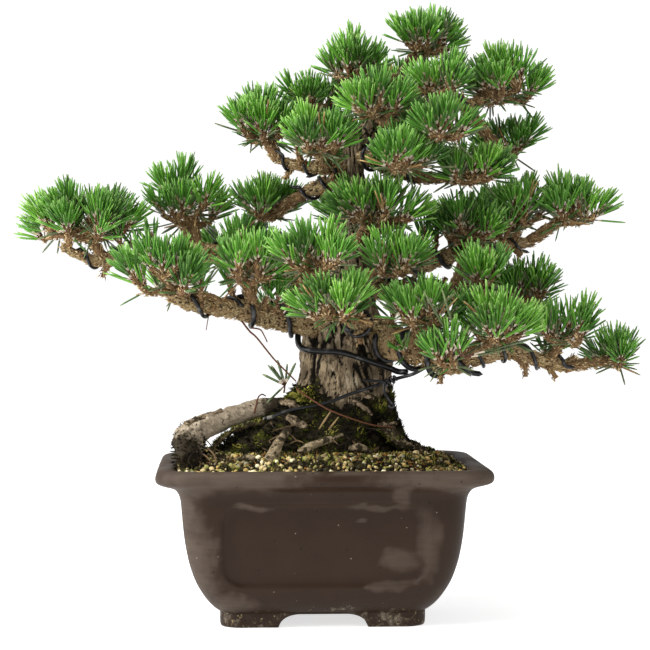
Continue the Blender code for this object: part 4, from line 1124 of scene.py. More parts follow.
# Path of each, and its radii at its start and at its end
BOUGHS = {
    "bough_left_low": (
        ((6, -6, 181), (-12, -18, 183), (-30, -26, 186), (-44, -34, 189), (-54, -40, 192)), (9.0, 5.4),
    ),
    "bough_far_left": (
        ((10, 3, 203), (-8, 10, 206), (-31, 18, 212), (-60, 22, 223), (-86, 20, 228)), (7.5, 5.0),
    ),
    "bough_far_left_tip": (((-84, 20, 228), (-98, 17, 224), (-112, 14, 222), (-136, 9, 221)), (4.8, 3.4)),
    "bough_right_low": (((28, -8, 176), (40, -16, 172), (50, -25, 167), (62, -36, 164)), (12.0, 8.2)),
    "bough_right_middle": (((60, -35, 164), (68, -40, 160), (77, -44, 158), (87, -46, 161)), (7.6, 6.0)),
    "bough_right_tip": (
        ((85, -46, 161), (99, -42, 164), (112, -36, 165), (134, -27, 159), (150, -20, 155)), (5.6, 3.6),
    ),
    "bough_centre_low": (((20, -10, 180), (21, -36, 182), (17, -52, 185)), (8.0, 5.0)),
    "bough_centre_left": (((8, -4, 202), (-2, -26, 203), (-8, -46, 206)), (5.8, 4.0)),
    "bough_right_middle_tier": (((24, 2, 219), (50, -4, 218), (72, -9, 221), (88, -10, 226)), (6.8, 4.2)),
    "bough_right_middle_tip": (((86, -10, 226), (100, -5, 227), (116, 1, 229), (132, 5, 232)), (3.9, 2.8)),
    "bough_right_back": (((22, 6, 203), (46, 16, 202), (72, 24, 201), (104, 30, 199)), (7.0, 4.2)),
    "bough_left_back": (((10, 10, 196), (-2, 32, 201), (-18, 46, 207), (-33, 52, 213)), (7.0, 4.4)),
    "bough_middle_left": (((20, 3, 268), (4, 7, 267), (-12, 18, 261)), (5.2, 3.6)),
    "bough_upper_left": (((19, 1, 278), (8, -4, 277), (-3, -8, 277)), (5.0, 3.6)),
    "bough_upper_left_tip": (((-1, -7, 277), (-14, -5, 278), (-28, 0, 283)), (3.3, 2.6)),
    "bough_upper_right_low": (((20, 0, 286), (38, -12, 278), (58, -18, 269)), (4.8, 3.2)),
    "bough_upper_right": (((34, -2, 309), (54, -1, 312), (78, 1, 316), (98, 3, 318)), (4.2, 2.8)),
}
# The boughs' thin ends, which run on under the two lowest sprays at the left
LEADERS = {
    "leader_left_low": (((-50, -38, 190), (-64, -44, 191.5), (-79, -50, 194), (-92, -55, 199)), (5.4, 3.2)),
    "leader_far_left": (((-126, 11, 220.5), (-138, 9, 220), (-149, 8, 223.5), (-160, 7, 229)), (3.8, 2.2)),
}
LIMBS = BOUGHS | LEADERS
BOUGH_AROUND = 44
BOUGH_STEP = 0.85
FULL_BARK_RADIUS = 7


def bough_relief(point, radius):
    """Knots, lumps and cracks, which are smaller on a thin bough."""
    deep = cracked(point, 2.8, 1.0, 4.2)
    knots = max(0.0, noise.noise(point / 7.5) - 0.1) * 4.2
    lumps = knots + 0.9 * deep + 0.9 * noise.noise(point / 3.2)
    strength = min(radius, FULL_BARK_RADIUS) / FULL_BARK_RADIUS
    return strength * lumps + 0.35 * noise.noise(point / 1.1), deep


flaky = Finish("flaky_bark", Specular_IOR_Level=0.2, Roughness=0.95)
depth = flaky.attribute("depth")
flecks = flaky.noise(1.2, 5.0, (1.0, 1.0, 1.0), 0.7)
scales = flaky.mix(flecks.between(0.34, 0.66), (0.120, 0.078, 0.034), (0.455, 0.348, 0.178))
scales = flaky.mix(flaky.noise(9, 3.0).between(0.44, 0.60) * 0.8, scales, (0.255, 0.165, 0.082))
# Cracks are painted dark brown: painted shade in the cracks
flaky.colour(flaky.mix((depth + flecks * 0.6).between(-0.65, -0.05), (0.022, 0.013, 0.007), scales))
flaky.bump(flecks + flaky.noise(0.6, 3.0) * 0.5, 0.9)
for name, (points, radii) in LIMBS.items():
    length = sum((Vector(b) - Vector(a)).length for a, b in zip(points, points[1:]))
    shape = limb(points, radii, BOUGH_AROUND, round(length / BOUGH_STEP), bough_relief, "depth")
    piece(name + "_bark", shape, (flaky,), (name,) if name in BOUGHS else ())


# The foliage. Every pad is a spray of scaly twigs that divide from one stem and turn up at their ends.
# Each ends in a shoot: pairs of stiff short needles in papery sheaths, opening upwards like a brush.

# Where each pad's stem starts, its middle, its radii and its number of tufts
PADS = {
    "pad_far_left": ((-134, 9, 221), (-146, 8, 246), (45, 36, 23), 8),
    "pad_left_middle": ((-75, 20.8, 226), (-82, 30, 258), (28, 31, 30), 5),
    "pad_left_low_tip": ((-52, -39, 191), (-94, -55, 213), (32, 30, 27), 5),
    "pad_left_low_inner": ((-42, -33, 188.5), (-46, -61, 220), (21, 28, 24), 4),
    "pad_left_back": ((-31, 51, 212), (-54, 73, 231), (33, 32, 23), 5),
    "pad_centre_left": ((-7, -44, 206), (-8, -85, 225), (23, 28, 22), 4),
    "pad_centre_low": ((18, -50, 185), (8, -93, 196), (24, 24, 18), 4),
    "pad_centre_right": ((24, -2, 206), (41, -56, 222), (28, 25, 19), 4),
    "pad_centre_right_low": ((56, -30, 165.5), (55, -78, 194), (20, 24, 25), 4),
    "pad_front_right_low": ((70, -41, 159), (70, -90, 168), (14, 17, 15), 2),
    "pad_middle_centre": ((18, 2, 226), (33, -37, 253), (30, 26, 19), 5),
    "pad_middle_left": ((-10, 16, 262), (-34, 37, 258), (24, 28, 21), 4),
    "pad_middle_back": ((22, 8, 236), (26, 71, 251), (33, 31, 23), 5),
    "pad_right_middle_inner": ((84, -9, 225), (89, -16, 243), (22, 26, 21), 4),
    "pad_right_middle": ((118, 1.5, 229), (126, 9, 255), (19, 28, 25), 4),
    "pad_right_middle_tip": ((130, 5, 231.5), (157, 5, 256), (20, 25, 23), 4),
    "pad_right_middle_back": ((85, 26, 200), (108, 78, 247), (32, 28, 23), 5),
    "pad_right_low_inner": ((84, -9, 225), (92, -56, 214), (18, 21, 18), 3),
    "pad_right_low_upper": ((94, 28, 199.5), (129, 6, 205), (23, 26, 18), 4),
    "pad_right_low_front": ((80, -45, 159), (98, -83, 184), (25, 25, 24), 5),
    "pad_right_low_outer": ((138, -25, 158), (148, -24, 181), (22, 29, 23), 4),
    "pad_right_low_tip": ((148, -21, 155.4), (182, -14, 165), (16, 21, 16), 3),
    "pad_right_low_back": ((102, 29, 199), (134, 76, 196), (34, 29, 21), 5),
    "pad_apex": ((54, -6, 341), (62, -10, 357), (23, 28, 19), 4),
    "pad_top_left": ((48, -4, 330), (19, -5, 342), (23, 28, 22), 4),
    "pad_top_front": ((38, -3, 312), (31, -54, 315), (22, 23, 19), 4),
    "pad_top_right": ((42, -4, 318), (68, -41, 329), (20, 25, 18), 4),
    "pad_upper_front": ((34, -2, 307), (69, -59, 301), (21, 23, 18), 4),
    "pad_upper_front_low": ((47, -14.5, 273.5), (44, -61, 283), (23, 23, 18), 4),
    "pad_upper_right_low": ((56, -17, 270), (88, -32, 276), (25, 25, 16), 4),
    "pad_upper_right": ((96, 3, 318), (116, 5, 332), (28, 32, 28), 6),
    "pad_upper_right_under": ((87, 2, 317), (121, 24, 295), (23, 28, 14), 3),
    "pad_upper_left": ((-26, 0, 282), (-36, 0, 306), (24, 29, 25), 5),
    "pad_upper_left_back": ((10, -3.5, 277), (-4, 18, 322), (22, 25, 16), 4),
    "pad_upper_left_front": ((4, -5.5, 277), (-3, -44, 294), (21, 24, 21), 4),
    "pad_top_back": ((46, -4, 324), (54, 63, 331), (35, 32, 26), 6),
    "pad_upper_back": ((18, 2, 277), (14, 71, 298), (35, 30, 23), 5),
}
# The rule of a pad: its random start, the turn from tuft to tuft, and how far the outermost leans
GROWTH_SEED = 82
GOLDEN_TURN = math.radians(137.50776)
PAD_TILT = math.radians(88.0)
# Where the tufts' feet and the hub lie, as shares of the pad's radii and of the way back to its foot
FEET_SPREAD = 0.6
FEET_DROP = 0.32
HUB_DROP = 0.42
HUB_SHIFT = 0.22
# Where the first branchlet leaves the stem, and how much lower the last, as shares of its length
FORKS = (0.98, 0.26)
# The longest tuft, and the radii of the wood
SPIKE_LENGTH = 25.0
STEM_RADIUS = 3.7
BRANCHLET_RADIUS = 2.5
TWIG_RADIUS = 1.75
# A shoot's neck, and how far below a tuft's edge the branchlet ends
SHOOT_NECK = 10.0
SHOOTS_SHORT = 5.0
NEEDLE_LENGTH = 20.5
NEEDLE_RADIUS = 0.60
NEEDLE_PAIRS = (11, 17)
# Degrees that the lowest needles of a shoot lean, how much less the highest do, and the least
LOWEST_LEAN = 50
LEAN_LOSS = 43
LEAST_LEAN = 3.0
# Bark scales: width, length, how many square millimetres of twig or bough each has, and a shoot's bud scales
SCALE_GIRTHS = (0.6, 1.1)
SCALE_LENGTHS = (1.5, 3.2)
TWIG_SKIN_A_SCALE = 5.6
BOUGH_SKIN_A_SCALE = 6.5
BUD_SCALES = 8

# Blade and tip of each tint; the paler tips are the needles' own colour and partly a painted highlight
NEEDLE_TINTS = {
    "bright": ((0.128, 0.325, 0.030), (0.215, 0.385, 0.082)),
    "fresh": ((0.093, 0.260, 0.024), (0.155, 0.315, 0.058)),
    "full": ((0.064, 0.194, 0.020), (0.105, 0.235, 0.042)),
    "deep": ((0.038, 0.108, 0.014), (0.068, 0.148, 0.026)),
    "old": ((0.078, 0.105, 0.042), (0.120, 0.148, 0.062)),
    "dead": ((0.300, 0.180, 0.070), (0.370, 0.245, 0.100)),
    "root": ((0.100, 0.150, 0.066), (0.200, 0.240, 0.130)),
}
DEEP_TINT = 3
OLD_TINT = 4
DEAD_TINT = 5
ROOT_TINT = 6


def leafy(name, colour, roughness):
    """One even colour with a leaf's slight shine."""
    return plain(name, colour, roughness, 0.25)


neck = leafy("needle_neck", (0.105, 0.045, 0.026), 0.8)
sheath = leafy("needle_sheath", (0.540, 0.460, 0.355), 0.8)
needle_finishes = []
for name, (main, end) in NEEDLE_TINTS.items():
    needle_finishes += [neck, sheath]
    needle_finishes += [leafy("needle_" + name, main, 0.42), leafy("needle_tip_" + name, end, 0.5)]
scale_finishes = (
    plain("scale_brown", (0.185, 0.110, 0.046)), plain("scale_tan", (0.490, 0.350, 0.175)),
    plain("scale_gold", (0.370, 0.240, 0.098)), plain("scale_pale", (0.600, 0.465, 0.270)),
    plain("scale_red", (0.140, 0.060, 0.030)),
)
BARK_SCALE_KINDS = (0, 1, 1, 2, 3)
BUD_SCALE_KINDS = (0, 4, 4, 4)
twig_bark = Finish("twig_bark", Specular_IOR_Level=0.2, Roughness=0.92)
flecks = twig_bark.noise(0.9, 4.0, roughness=0.7)
skin = twig_bark.mix(flecks.between(0.36, 0.62), (0.080, 0.040, 0.018), (0.310, 0.195, 0.090))
browner = twig_bark.noise(5, 3.0).between(0.42, 0.62) * 0.7
twig_bark.colour(twig_bark.mix(browner, skin, (0.150, 0.088, 0.044)))
twig_bark.bump(flecks, 0.8)


def rolled(sides, rings, lumps=0.0):
    """A slim closed shape on +Z: share of the length, width and finish at each ring."""
    bm = bmesh.new()
    steps = len(rings) - 1
    bmesh.ops.create_grid(bm, x_segments=sides, y_segments=steps, size=0.5)
    for face in bm.faces:
        face.material_index = rings[round((face.calc_center_median().y + 0.5) * steps - 0.5)][2]
    for vert in bm.verts:
        share, width, _ = rings[round((vert.co.y + 0.5) * steps)]
        turn = 2 * math.pi * (vert.co.x + 0.5)
        out = Vector((math.cos(turn), math.sin(turn), 0))
        width *= 1 + lumps * noise.noise(Vector((*out.xy * 1.3, share * 5)))
        vert.co = out * width + Vector((0, 0, share))
    bmesh.ops.remove_doubles(bm, verts=bm.verts, dist=MERGE_WITHIN)
    ends = bmesh.ops.holes_fill(bm, edges=[edge for edge in bm.edges if edge.is_boundary])["faces"]
    for face in ends:
        face.material_index = rings[-1][2] if face.calc_center_median().z > 0.5 else rings[0][2]
    bmesh.ops.recalc_face_normals(bm, faces=bm.faces)
    return template(bm)


needle = rolled(3, ((0.0, 0.70, 0), (0.13, 0.70, 1), (0.27, 1.05, 2), (0.84, 1.0, 3), (1.0, 0.50, 3)))
twig = rolled(6, ((0.0, 1.0, 0), (0.3, 1.05, 0), (0.65, 0.9, 0), (1.0, 0.8, 0)), 0.5)
stem = rolled(10, tuple((k / 9, 1.0 - 0.25 * k / 9, 0) for k in range(10)), 0.5)
bm = bmesh.new()
bmesh.ops.create_cone(bm, cap_ends=True, segments=3, radius1=1.0, radius2=0.05, depth=1.0)
bmesh.ops.translate(bm, verts=bm.verts, vec=(0, 0, 0.5))
bmesh.ops.scale(bm, verts=bm.verts, vec=(1.0, 0.4, 1.0))
scale_leaf = template(bm)
# Shape, finishes, slot and smooth shading of each kind of small growth
SMALL_SHAPES = {
    "needles": (needle, needle_finishes, "needles", True),
    "twigs": (twig, (twig_bark,), "bark", True),
    "branchlets": (stem, (twig_bark,), "bark", True),
    "bark_scales": (scale_leaf, scale_finishes, "bark", False),
}


class Growth:
    """The small shapes that one region of the crown grows: the axes, place, finish and bend of each."""

    def __init__(self, seed):
        self.rng = random.Random(seed)
        self.grown = {kind: [] for kind in SMALL_SHAPES}

    def add(self, kind, axes, place, finish, bend=(0, 0, 0)):
        self.grown[kind].append((axes, list(place), finish, list(bend)))

    def add_wood(self, kind, start, end, width, bend):
        """A twig from start to end that bows out by a bend on its way."""
        line = end - start - bend
        self.add(kind, axes_along(line, width, line.length, self.rng.uniform(0, 6)), start, 0, bend)
        self.clad(start, end, width, TWIG_SKIN_A_SCALE)

    def clad(self, start, end, width, each):
        """Bark scales over a straight bit, one to so many square millimetres."""
        line = (end - start).normalized()
        for _ in range(round((end - start).length * 2 * math.pi * width / each)):
            out = around_line(line, self.rng.uniform(0, 2 * math.pi))
            place = start.lerp(end, self.rng.random()) + out * width * 0.9
            self.add_scale(place, line + out * self.rng.uniform(0.2, 0.9))

    def add_scale(self, place, line, finishes=BARK_SCALE_KINDS):
        rng = self.rng
        girth, length = rng.uniform(*SCALE_GIRTHS), rng.uniform(*SCALE_LENGTHS)
        axes = axes_along(line, girth, length, rng.uniform(0, 6))
        self.add("bark_scales", axes, place, rng.choice(finishes))

    def add_needle(self, start, line, length, tint, bend, width=NEEDLE_RADIUS):
        rng = self.rng
        axes = axes_along(line, width * rng.uniform(0.85, 1.15), length, rng.uniform(0, 6.3))
        self.add("needles", axes, start, tint, bend)

    def needle_tint(self, tint, up):
        """Mostly the shoot's own tint, else the next darker or brighter, old low down, and rarely dead."""
        chance = self.rng.random()
        if chance < 0.15:
            return min(tint + 1, DEEP_TINT)
        if chance < 0.28:
            return max(tint - 1, 0)
        if up < 0.25 and chance < 0.45:
            return OLD_TINT
        return DEAD_TINT if chance > 0.996 else tint

    def add_shoot(self, foot, line, length, tint, fullness=1.0):
        """Pairs of needles up a short neck, the lowest leaning furthest out."""
        rng = self.rng
        phase = rng.uniform(0, 2 * math.pi)
        pairs = max(4, round(rng.randint(*NEEDLE_PAIRS) * fullness))
        openness = rng.uniform(0.8, 1.15)
        for k in range(pairs):
            up = (k + rng.random()) / pairs
            out = around_line(line, phase + GOLDEN_TURN * k)
            lean = (LOWEST_LEAN - LEAN_LOSS * up ** 0.85) * openness + rng.gauss(0, 5)
            lean = math.radians(max(LEAST_LEAN, lean))
            start = foot + line * (SHOOT_NECK * (up * 0.9 - 0.15)) + out * 0.7
            twist = line.cross(out) * rng.uniform(0.04, 0.15)
            own = self.needle_tint(tint, up)
            for apart in (-1, 1):
                way = line * math.cos(lean) + out * math.sin(lean) + twist * apart
                reach = length * rng.uniform(0.84, 1.05) * (1.0 - 0.16 * up)
                bend = UP * rng.uniform(-0.3, 0.7) + out * rng.uniform(-0.5, 0.3)
                self.add_needle(start, way, reach, own, bend)
        for k in range(BUD_SCALES):
            out = around_line(line, phase + GOLDEN_TURN * k)
            place = foot + line * (SHOOT_NECK * (k / BUD_SCALES * 0.9 - 0.4)) + out * 1.0
            self.add_scale(place, line * 1.2 + out * rng.uniform(0.1, 0.8), BUD_SCALE_KINDS)
        low, high = foot - line * 2.5, foot + line * SHOOT_NECK
        self.add_wood("twigs", low, high, TWIG_RADIUS * 0.75, Vector((0, 0, 0)))

    def add_branchlet(self, foot, end, direction, scale, lit):
        """One tuft: a scaly branchlet that divides into shoots, with a few old needles."""
        rng = self.rng
        self.add_wood("branchlets", foot, end, BRANCHLET_RADIUS, UP * rng.uniform(-1, 3))
        shoots = rng.choice((2, 3, 3))
        phase = rng.uniform(0, 2 * math.pi)
        for number in range(shoots):
            out = around_line(direction, phase + 2 * math.pi * number / max(1, shoots - 1))
            aside = 0.0 if number == 0 else rng.uniform(0.75, 1.15)
            twig_line = (direction * rng.uniform(0.7, 1.1) + out * aside + UP * 0.15).normalized()
            start = end + twig_line * (rng.uniform(7.0, 13.0) if number else rng.uniform(2.0, 7.0)) * scale
            line = (direction + out * aside * 0.42 + UP * rng.uniform(0.25, 0.6)).normalized()
            self.add_wood("twigs", end, start, TWIG_RADIUS, UP * rng.uniform(0, 2))
            # Tufts at the pad's top, where most light falls, draw more bright needles, and those at its
            # sides more deep ones: painted light and shade
            tint = rng.choices((0, 1, 2, DEEP_TINT), (0.8 + lit * 1.6, 4, 3.2, 0.5 + 1.6 * (1 - lit)))[0]
            self.add_shoot(start, line, NEEDLE_LENGTH * rng.uniform(0.86, 1.08) * (0.8 + 0.2 * scale), tint)
        for _ in range(rng.randint(4, 9)):
            out = around_line(direction, rng.uniform(0, 2 * math.pi))
            line = direction * rng.uniform(-0.3, 0.5) + out
            tint = DEAD_TINT if rng.random() < 0.07 else rng.choice((OLD_TINT, OLD_TINT, DEEP_TINT))
            start = foot.lerp(end, rng.uniform(0.5, 1.0))
            self.add_needle(start, line, NEEDLE_LENGTH * rng.uniform(0.6, 0.9), tint, UP * -0.5)

    def grow(self, name):
        """One pad by its rule: its stem, the branchlets on it, and their tufts."""
        foot, centre, radii, tufts = PADS[name]
        foot, centre, radii = Vector(foot), Vector(centre), Vector(radii)
        low = centre - UP * (HUB_DROP * radii.z)
        hub = low + Vector((foot.x - low.x, foot.y - low.y, 0)) * HUB_SHIFT
        self.add_wood("branchlets", foot, hub, STEM_RADIUS, UP * -2)
        phase = random.Random(GROWTH_SEED + list(PADS).index(name)).uniform(0, 2 * math.pi)
        for number in range(tufts):
            out = math.sqrt((number + 0.4) / tufts)
            turn = GOLDEN_TURN * number + phase
            flat = Vector((radii.x * math.cos(turn), radii.y * math.sin(turn), 0))
            tuft_foot = centre + flat * (FEET_SPREAD * out) - UP * (FEET_DROP * radii.z)
            lean = PAD_TILT * out
            edge = centre + flat * math.sin(lean) + UP * (radii.z * math.cos(lean))
            direction = (edge - tuft_foot).normalized()
            length = min(SPIKE_LENGTH, (edge - tuft_foot).length)
            branching = foot.lerp(hub, FORKS[0] - FORKS[1] * number / tufts)
            tuft_foot = edge - direction * (length + SHOOTS_SHORT)
            self.add_branchlet(branching, tuft_foot, direction, length / SPIKE_LENGTH, 1 - out)

    def strew(self, kind, region, replaced=()):
        """Makes all the small shapes of one kind a piece."""
        shape, finishes, slot, smooth = SMALL_SHAPES[kind]
        axes, places, kinds, bends = zip(*self.grown[kind])
        name = f"{kind}_{region}"
        strewn(name, shape, axes, places, kinds, finishes, bends, replaced, smooth)


# Spurs stand on the outer part of a bough, at a spacing, and some carry a small shoot. Knobs are what is
# left of cut ones.
SPUR_LEVELS = 40
SPUR_SPACING = 7.5
SPURRED_PART = 0.75
SPURS_FROM = 0.3
SPUR_SEAT = 0.6
SPUR_LENGTHS = (6, 10)
SPUR_SHOOT_TINT = 2
SPUR_SHOOT_CHANCE = 0.72
KNOB_RADIUS = 2.0
KNOB_LENGTHS = (2.5, 4.5)


def add_spurs(growth, name):
    """Short scaly spurs along a bough, some with a small shoot, bare knobs, and bark scales all over it."""
    rng = growth.rng
    points, radii = LIMBS[name]
    found = frames_along(points, SPUR_LEVELS)
    length = sum((b[0] - a[0]).length for a, b in zip(found, found[1:])) * SPURRED_PART
    for k in range(SPUR_LEVELS):
        radius = radius_at(radii, k / SPUR_LEVELS) * 1.06
        growth.clad(found[k][0], found[k + 1][0], radius, BOUGH_SKIN_A_SCALE)
    for k in range(int(length / SPUR_SPACING)):
        share = SPURS_FROM + (1 - SPURS_FROM) * (k + rng.random()) * SPUR_SPACING / length
        centre, _, _, line = found[min(SPUR_LEVELS, round(share * SPUR_LEVELS))]
        radius = radius_at(radii, share)
        out = around_line(line, rng.uniform(0, 2 * math.pi)) + UP * 0.55
        out = (out - line * out.dot(line)).normalized()
        start = centre + out * radius * SPUR_SEAT
        end = start + (out + line * 0.4) * rng.uniform(*SPUR_LENGTHS)
        growth.add_wood("twigs", start, end, TWIG_RADIUS * rng.uniform(0.8, 1.2), UP)
        if out.z > -0.2 and rng.random() < SPUR_SHOOT_CHANCE:
            way = (out + UP * 0.6 + line * 0.3).normalized()
            growth.add_shoot(end, way, NEEDLE_LENGTH * rng.uniform(0.7, 0.95), SPUR_SHOOT_TINT, 0.6)
        knob_line = around_line(line, rng.uniform(0, 2 * math.pi))
        knob = centre + knob_line * radius * SPUR_SEAT
        reach = (knob_line + line * rng.uniform(-0.8, 0.8)) * rng.uniform(*KNOB_LENGTHS)
        if knob_line.z > -0.3:
            growth.add_wood("twigs", knob, knob + reach, KNOB_RADIUS * rng.uniform(0.7, 1.2), UP * -0.5)


# Region of the crown: pads and boughs by the starts of their names
REGIONS = {
    "left": ("pad_far_left", "pad_left", "bough_left", "bough_far", "leader"),
    "centre": ("pad_centre", "pad_front", "bough_centre"),
    "middle": ("pad_middle", "bough_middle"),
    "right_middle": ("pad_right_middle", "bough_right_middle", "bough_right_back"),
    "right_low": ("pad_right_low", "bough_right_low", "bough_right_tip"),
    "upper": ("pad_upper", "bough_upper"),
    "top": ("pad_apex", "pad_top"),
}
FIRST_SEED = 300
for number, (region, starts) in enumerate(REGIONS.items()):
    growth = Growth(FIRST_SEED + number)
    names = [name for name in PADS if name.startswith(starts)]
    for name in names:
        growth.grow(name)
    for name in LIMBS:
        if name.startswith(starts):
            add_spurs(growth, name)
    for kind in SMALL_SHAPES:
        growth.strew(kind, region, names if kind == "needles" else ())


# The wires. Black annealed wire winds round the bent boughs and braces the trunk, and a thinner guy wire,
# twisted on itself beside the trunk, holds the right bough down.
wire = Finish("annealed_wire", (0.02, 0.02, 0.022), Roughness=0.42, Metallic=0.75)
worn = wire.noise(5, 4.0).between(0.5, 0.7)
wire.colour(wire.mix(worn, (0.016, 0.016, 0.017), (0.085, 0.083, 0.082)))
wire.roughness(0.34 + worn * 0.25)
TRUNK_WIRE = (
    (-13.9, -14, 180), (-14.6, -17, 172), (-13.2, -19.5, 167.5), (-8, -24.4, 165.6), (0, -27.4, 165),
    (10, -28.6, 164.5), (21, -29, 161.5), (31, -27.6, 158), (40, -24.6, 155), (46, -23, 152.5),
    (52, -26, 152.5),
)
GUY_WIRE = (
    (-36.3, -37, 125), (-29, -38.2, 126.9), (-21, -38.8, 130), (-11, -38.4, 132), (-2, -36, 133.5),
    (7, -34.6, 136), (16, -33.2, 139.5), (29, -30.6, 143.5), (38, -28.6, 146.5), (46, -30, 149),
    (54, -34, 151.5), (62, -37, 156),
)
CUT_END = (GUY_WIRE[0], (-33, -37.6, 125.8), (-29.5, -38.1, 126.7))
brace = limb(TRUNK_WIRE, (1.8, 1.8), 14, 90)
piece("wire_trunk_brace", brace, (wire,), ("wire_trunk",))
guy = limb(GUY_WIRE, (1.05, 1.05), 10, 90)
piece("wire_guy_line", guy, (wire,), ("wire_guy",))
scraped = Finish("scraped_wire", (0.150, 0.145, 0.125), Roughness=0.6, Metallic=0.3)
cut_end = limb(CUT_END, (0.8, 1.09, 1.08), 10, 14)
piece("wire_guy_cut_end", cut_end, (scraped,))

# Bough, where its coil starts and ends as shares of its length, the wire's radius, turns, and first turn
COILS = (
    ("leader_left_low", 0.02, 0.90, 1.2, 1.4, 1.0), ("leader_far_left", 0.02, 0.80, 1.0, 1.4, 1.6),
    ("bough_far_left", 0.42, 0.98, 1.2, 2.0, 0.4), ("bough_far_left_tip", 0.02, 0.86, 1.1, 3.0, 2.0),
    ("bough_left_low", 0.10, 0.96, 1.5, 2.3, 1.6), ("bough_right_low", 0.30, 0.99, 1.7, 1.6, 2.2),
    ("bough_right_middle", 0.05, 0.95, 1.7, 1.6, 0.2), ("bough_right_tip", 0.04, 0.92, 1.1, 3.2, 1.2),
    ("bough_right_middle_tier", 0.15, 0.95, 1.3, 3.0, 2.4),
    ("bough_right_middle_tip", 0.05, 0.85, 1.0, 2.6, 0.6),
    ("bough_upper_right", 0.15, 0.90, 1.1, 3.4, 1.6), ("bough_upper_right_low", 0.12, 0.90, 1.1, 2.4, 0.2),
    ("bough_upper_left", 0.05, 0.95, 1.2, 1.6, 0.9), ("bough_upper_left_tip", 0.05, 0.85, 1.0, 1.8, 2.9),
    ("bough_middle_left", 0.10, 0.92, 1.1, 2.2, 0.4), ("bough_centre_low", 0.25, 0.92, 1.2, 1.8, 1.9),
    ("bough_right_back", 0.25, 0.90, 1.2, 3.0, 0.7), ("bough_left_back", 0.25, 0.90, 1.2, 2.2, 1.3),
)
COIL_LEVELS = 200
COIL_POINTS_A_TURN = 14
COIL_LIFT = 0.5
COIL_TAIL = 6.0


def coil_path(name, start, end, radius, turns, first):
    """The middle line of a wire that winds round a bough, with a short loose tail."""
    points, radii = LIMBS[name]
    found = frames_along(points, COIL_LEVELS)
    path = []
    count = round(turns * COIL_POINTS_A_TURN)
    for k in range(count + 1):
        share = start + (end - start) * k / count
        centre, side, upright, line = found[round(share * COIL_LEVELS)]
        out = outward(side, upright, first + 2 * math.pi * turns * k / count)
        path.append(centre + out * (radius_at(radii, share) + radius + COIL_LIFT))
    path.append(path[-1] + out * COIL_TAIL * 0.5 + line * COIL_TAIL)
    return path


coils = []
for name, start, end, radius, turns, first in COILS:
    path = coil_path(name, start, end, radius, turns, first)
    coils.append(limb(path, (radius, radius), 10, len(path) * 3))
piece("wire_bough_coils", joined(coils), (wire,))

# The guy wire is twisted on itself at the trunk's right side, and its spare end hangs in a loop.
KNOT_MIDDLE = Vector((40.0, -32.5, 147.2))
KNOT_LINE = Vector((0.93, -0.05, 0.36)).normalized()
KNOT_LENGTH = 9.0
KNOT_TURNS = 3.5
KNOT_RADIUS = 1.7
KNOT_STEPS = 49
LOOP = (
    (37, -34, 147.5), (36.6, -35, 143), (37, -35.5, 139.6), (39.9, -35.5, 135.3), (42.4, -35, 132.4),
    (40.6, -34.6, 131.2), (39.1, -34.5, 133),
)
SPARE_END = ((23.5, -31.5, 148), (30, -32.8, 147.4), (37, -33.5, 147.2))
twist = []
for k in range(KNOT_STEPS + 1):
    centre = KNOT_MIDDLE + KNOT_LINE * KNOT_LENGTH * (k / KNOT_STEPS - 0.5)
    turn = 2 * math.pi * KNOT_TURNS * k / KNOT_STEPS
    twist.append(centre + around_line(KNOT_LINE, turn) * KNOT_RADIUS)
twisted = limb(twist, (0.85, 0.85), 8, 150)
knot = joined((twisted, limb(LOOP, (0.75, 0.75), 8, 60), limb(SPARE_END, (0.8, 0.8), 8, 20)))
piece("wire_guy_knot", knot, (wire,))


# The dead twigs. Two thin red-brown twigs without needles cross in front of the trunk, and one small
# shoot grows from the old root.

# Path and radii of each
DEAD_TWIGS = (
    (
        (
            (-52, -36, 188), (-44.6, -40, 178), (-39.8, -42, 173.5), (-30.2, -42, 161.5), (-22, -40, 153),
            (-16, -34, 147),
        ),
        (0.6, 0.45),
    ),
    (((-43, -40, 179.5), (-38, -41, 178.5), (-35.7, -41.5, 175.3), (-33.6, -42, 170.8)), (0.5, 0.35)),
    (
        (
            (-16, -29, 143), (-13, -34, 140.5), (-2.3, -38.5, 133.5), (4.2, -39.5, 130), (18, -40, 124.7),
            (31, -38, 120.9), (43.5, -33, 119.6),
        ),
        (0.55, 0.4),
    ),
    (
        ((-41.2, -18, 126.7), (-40, -18, 132), (-38.7, -15, 136.6), (-36.3, -12, 138.3), (-33.9, -10, 137)),
        (0.5, 0.4),
    ),
    (((-64, -40, 196), (-68, -44, 188), (-70, -45, 178)), (0.35, 0.25)),
)
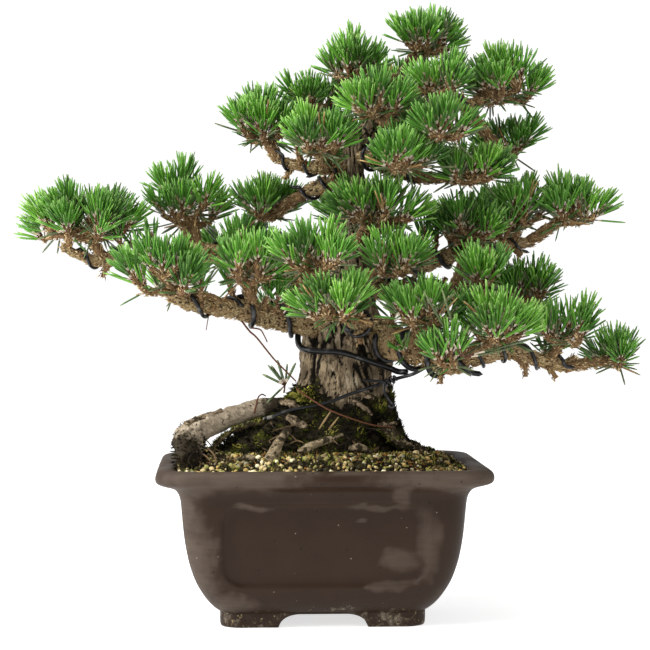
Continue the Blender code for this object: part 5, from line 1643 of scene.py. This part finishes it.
DRY_STRIPS = (
    (((-2.8, -37.5, 118.5), (0.5, -40, 124), (4.4, -39.5, 130)), (0.4, 0.65, 0.3)),
    (((3, -37.5, 118.5), (6, -40, 122.5), (9.2, -39.5, 126.5)), (0.4, 0.6, 0.3)),
    (((-20, -35, 110), (-16, -40, 112), (-12, -41, 111)), (0.3, 0.6, 0.3)),
)
dead_twig = plain("dead_twig", (0.100, 0.040, 0.020), 0.8)
twigs = joined(limb(points, radii, 8, 40) for points, radii in DEAD_TWIGS)
piece("twigs_without_needles", twigs, (dead_twig,))
dry_strip = plain("dry_strip", (0.230, 0.160, 0.075))
strips = joined(limb(points, radii, 8, 24) for points, radii in DRY_STRIPS)
piece("dry_leaf_strips", strips, (dry_strip,))

# The small shoot: its foot, its short stem, and the lines and lengths of its needles
SHOOT_FOOT = Vector((-23.0, -13.0, 139.5))
SHOOT_STEM = Vector((0.5, -3, 4.5))
SHOOT_RADIUS = 0.6
ROOT_SHOOT = (
    (-0.85, 0.1, 0.5), (-0.65, -0.2, 0.85), (-0.58, -0.1, 0.92), (-0.3, -0.1, 1.1), (0.1, 0.0, 1.1),
    (0.4, -0.1, 0.9), (-0.5, -0.3, -0.4),
)
ROOT_NEEDLE_LENGTHS = (14, 19)
growth = Growth(77)
growth.add_wood("twigs", SHOOT_FOOT, SHOOT_FOOT + SHOOT_STEM, SHOOT_RADIUS, UP)
# Foot, tip and tint of long old needles and of one yellow one
SINGLE_NEEDLES = (
    ((76, -93, 164), (54, -97, 200), OLD_TINT), ((77, -93, 164), (64.5, -98, 201), OLD_TINT),
    ((78, -92, 164), (121, -90, 174), OLD_TINT), ((78, -92, 163.5), (107, -90, 168), OLD_TINT),
    ((-26, -54, 187), (-15.5, -52, 198), DEAD_TINT),
)
for start, end, tint in SINGLE_NEEDLES:
    way = Vector(end) - Vector(start)
    growth.add_needle(Vector(start), way, way.length, tint, UP * 1.5, 0.8)
for line in ROOT_SHOOT:
    length = rng.uniform(*ROOT_NEEDLE_LENGTHS)
    growth.add_needle(SHOOT_FOOT + SHOOT_STEM, Vector(line), length, ROOT_TINT, UP * -1.2, 0.85)
for kind in ("needles", "twigs"):
    growth.strew(kind, "root_shoot")


# The boxes of the solids and of the pieces
size = {"cad": [list(corner) for corner in cad_box], "visual": [list(corner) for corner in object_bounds()]}
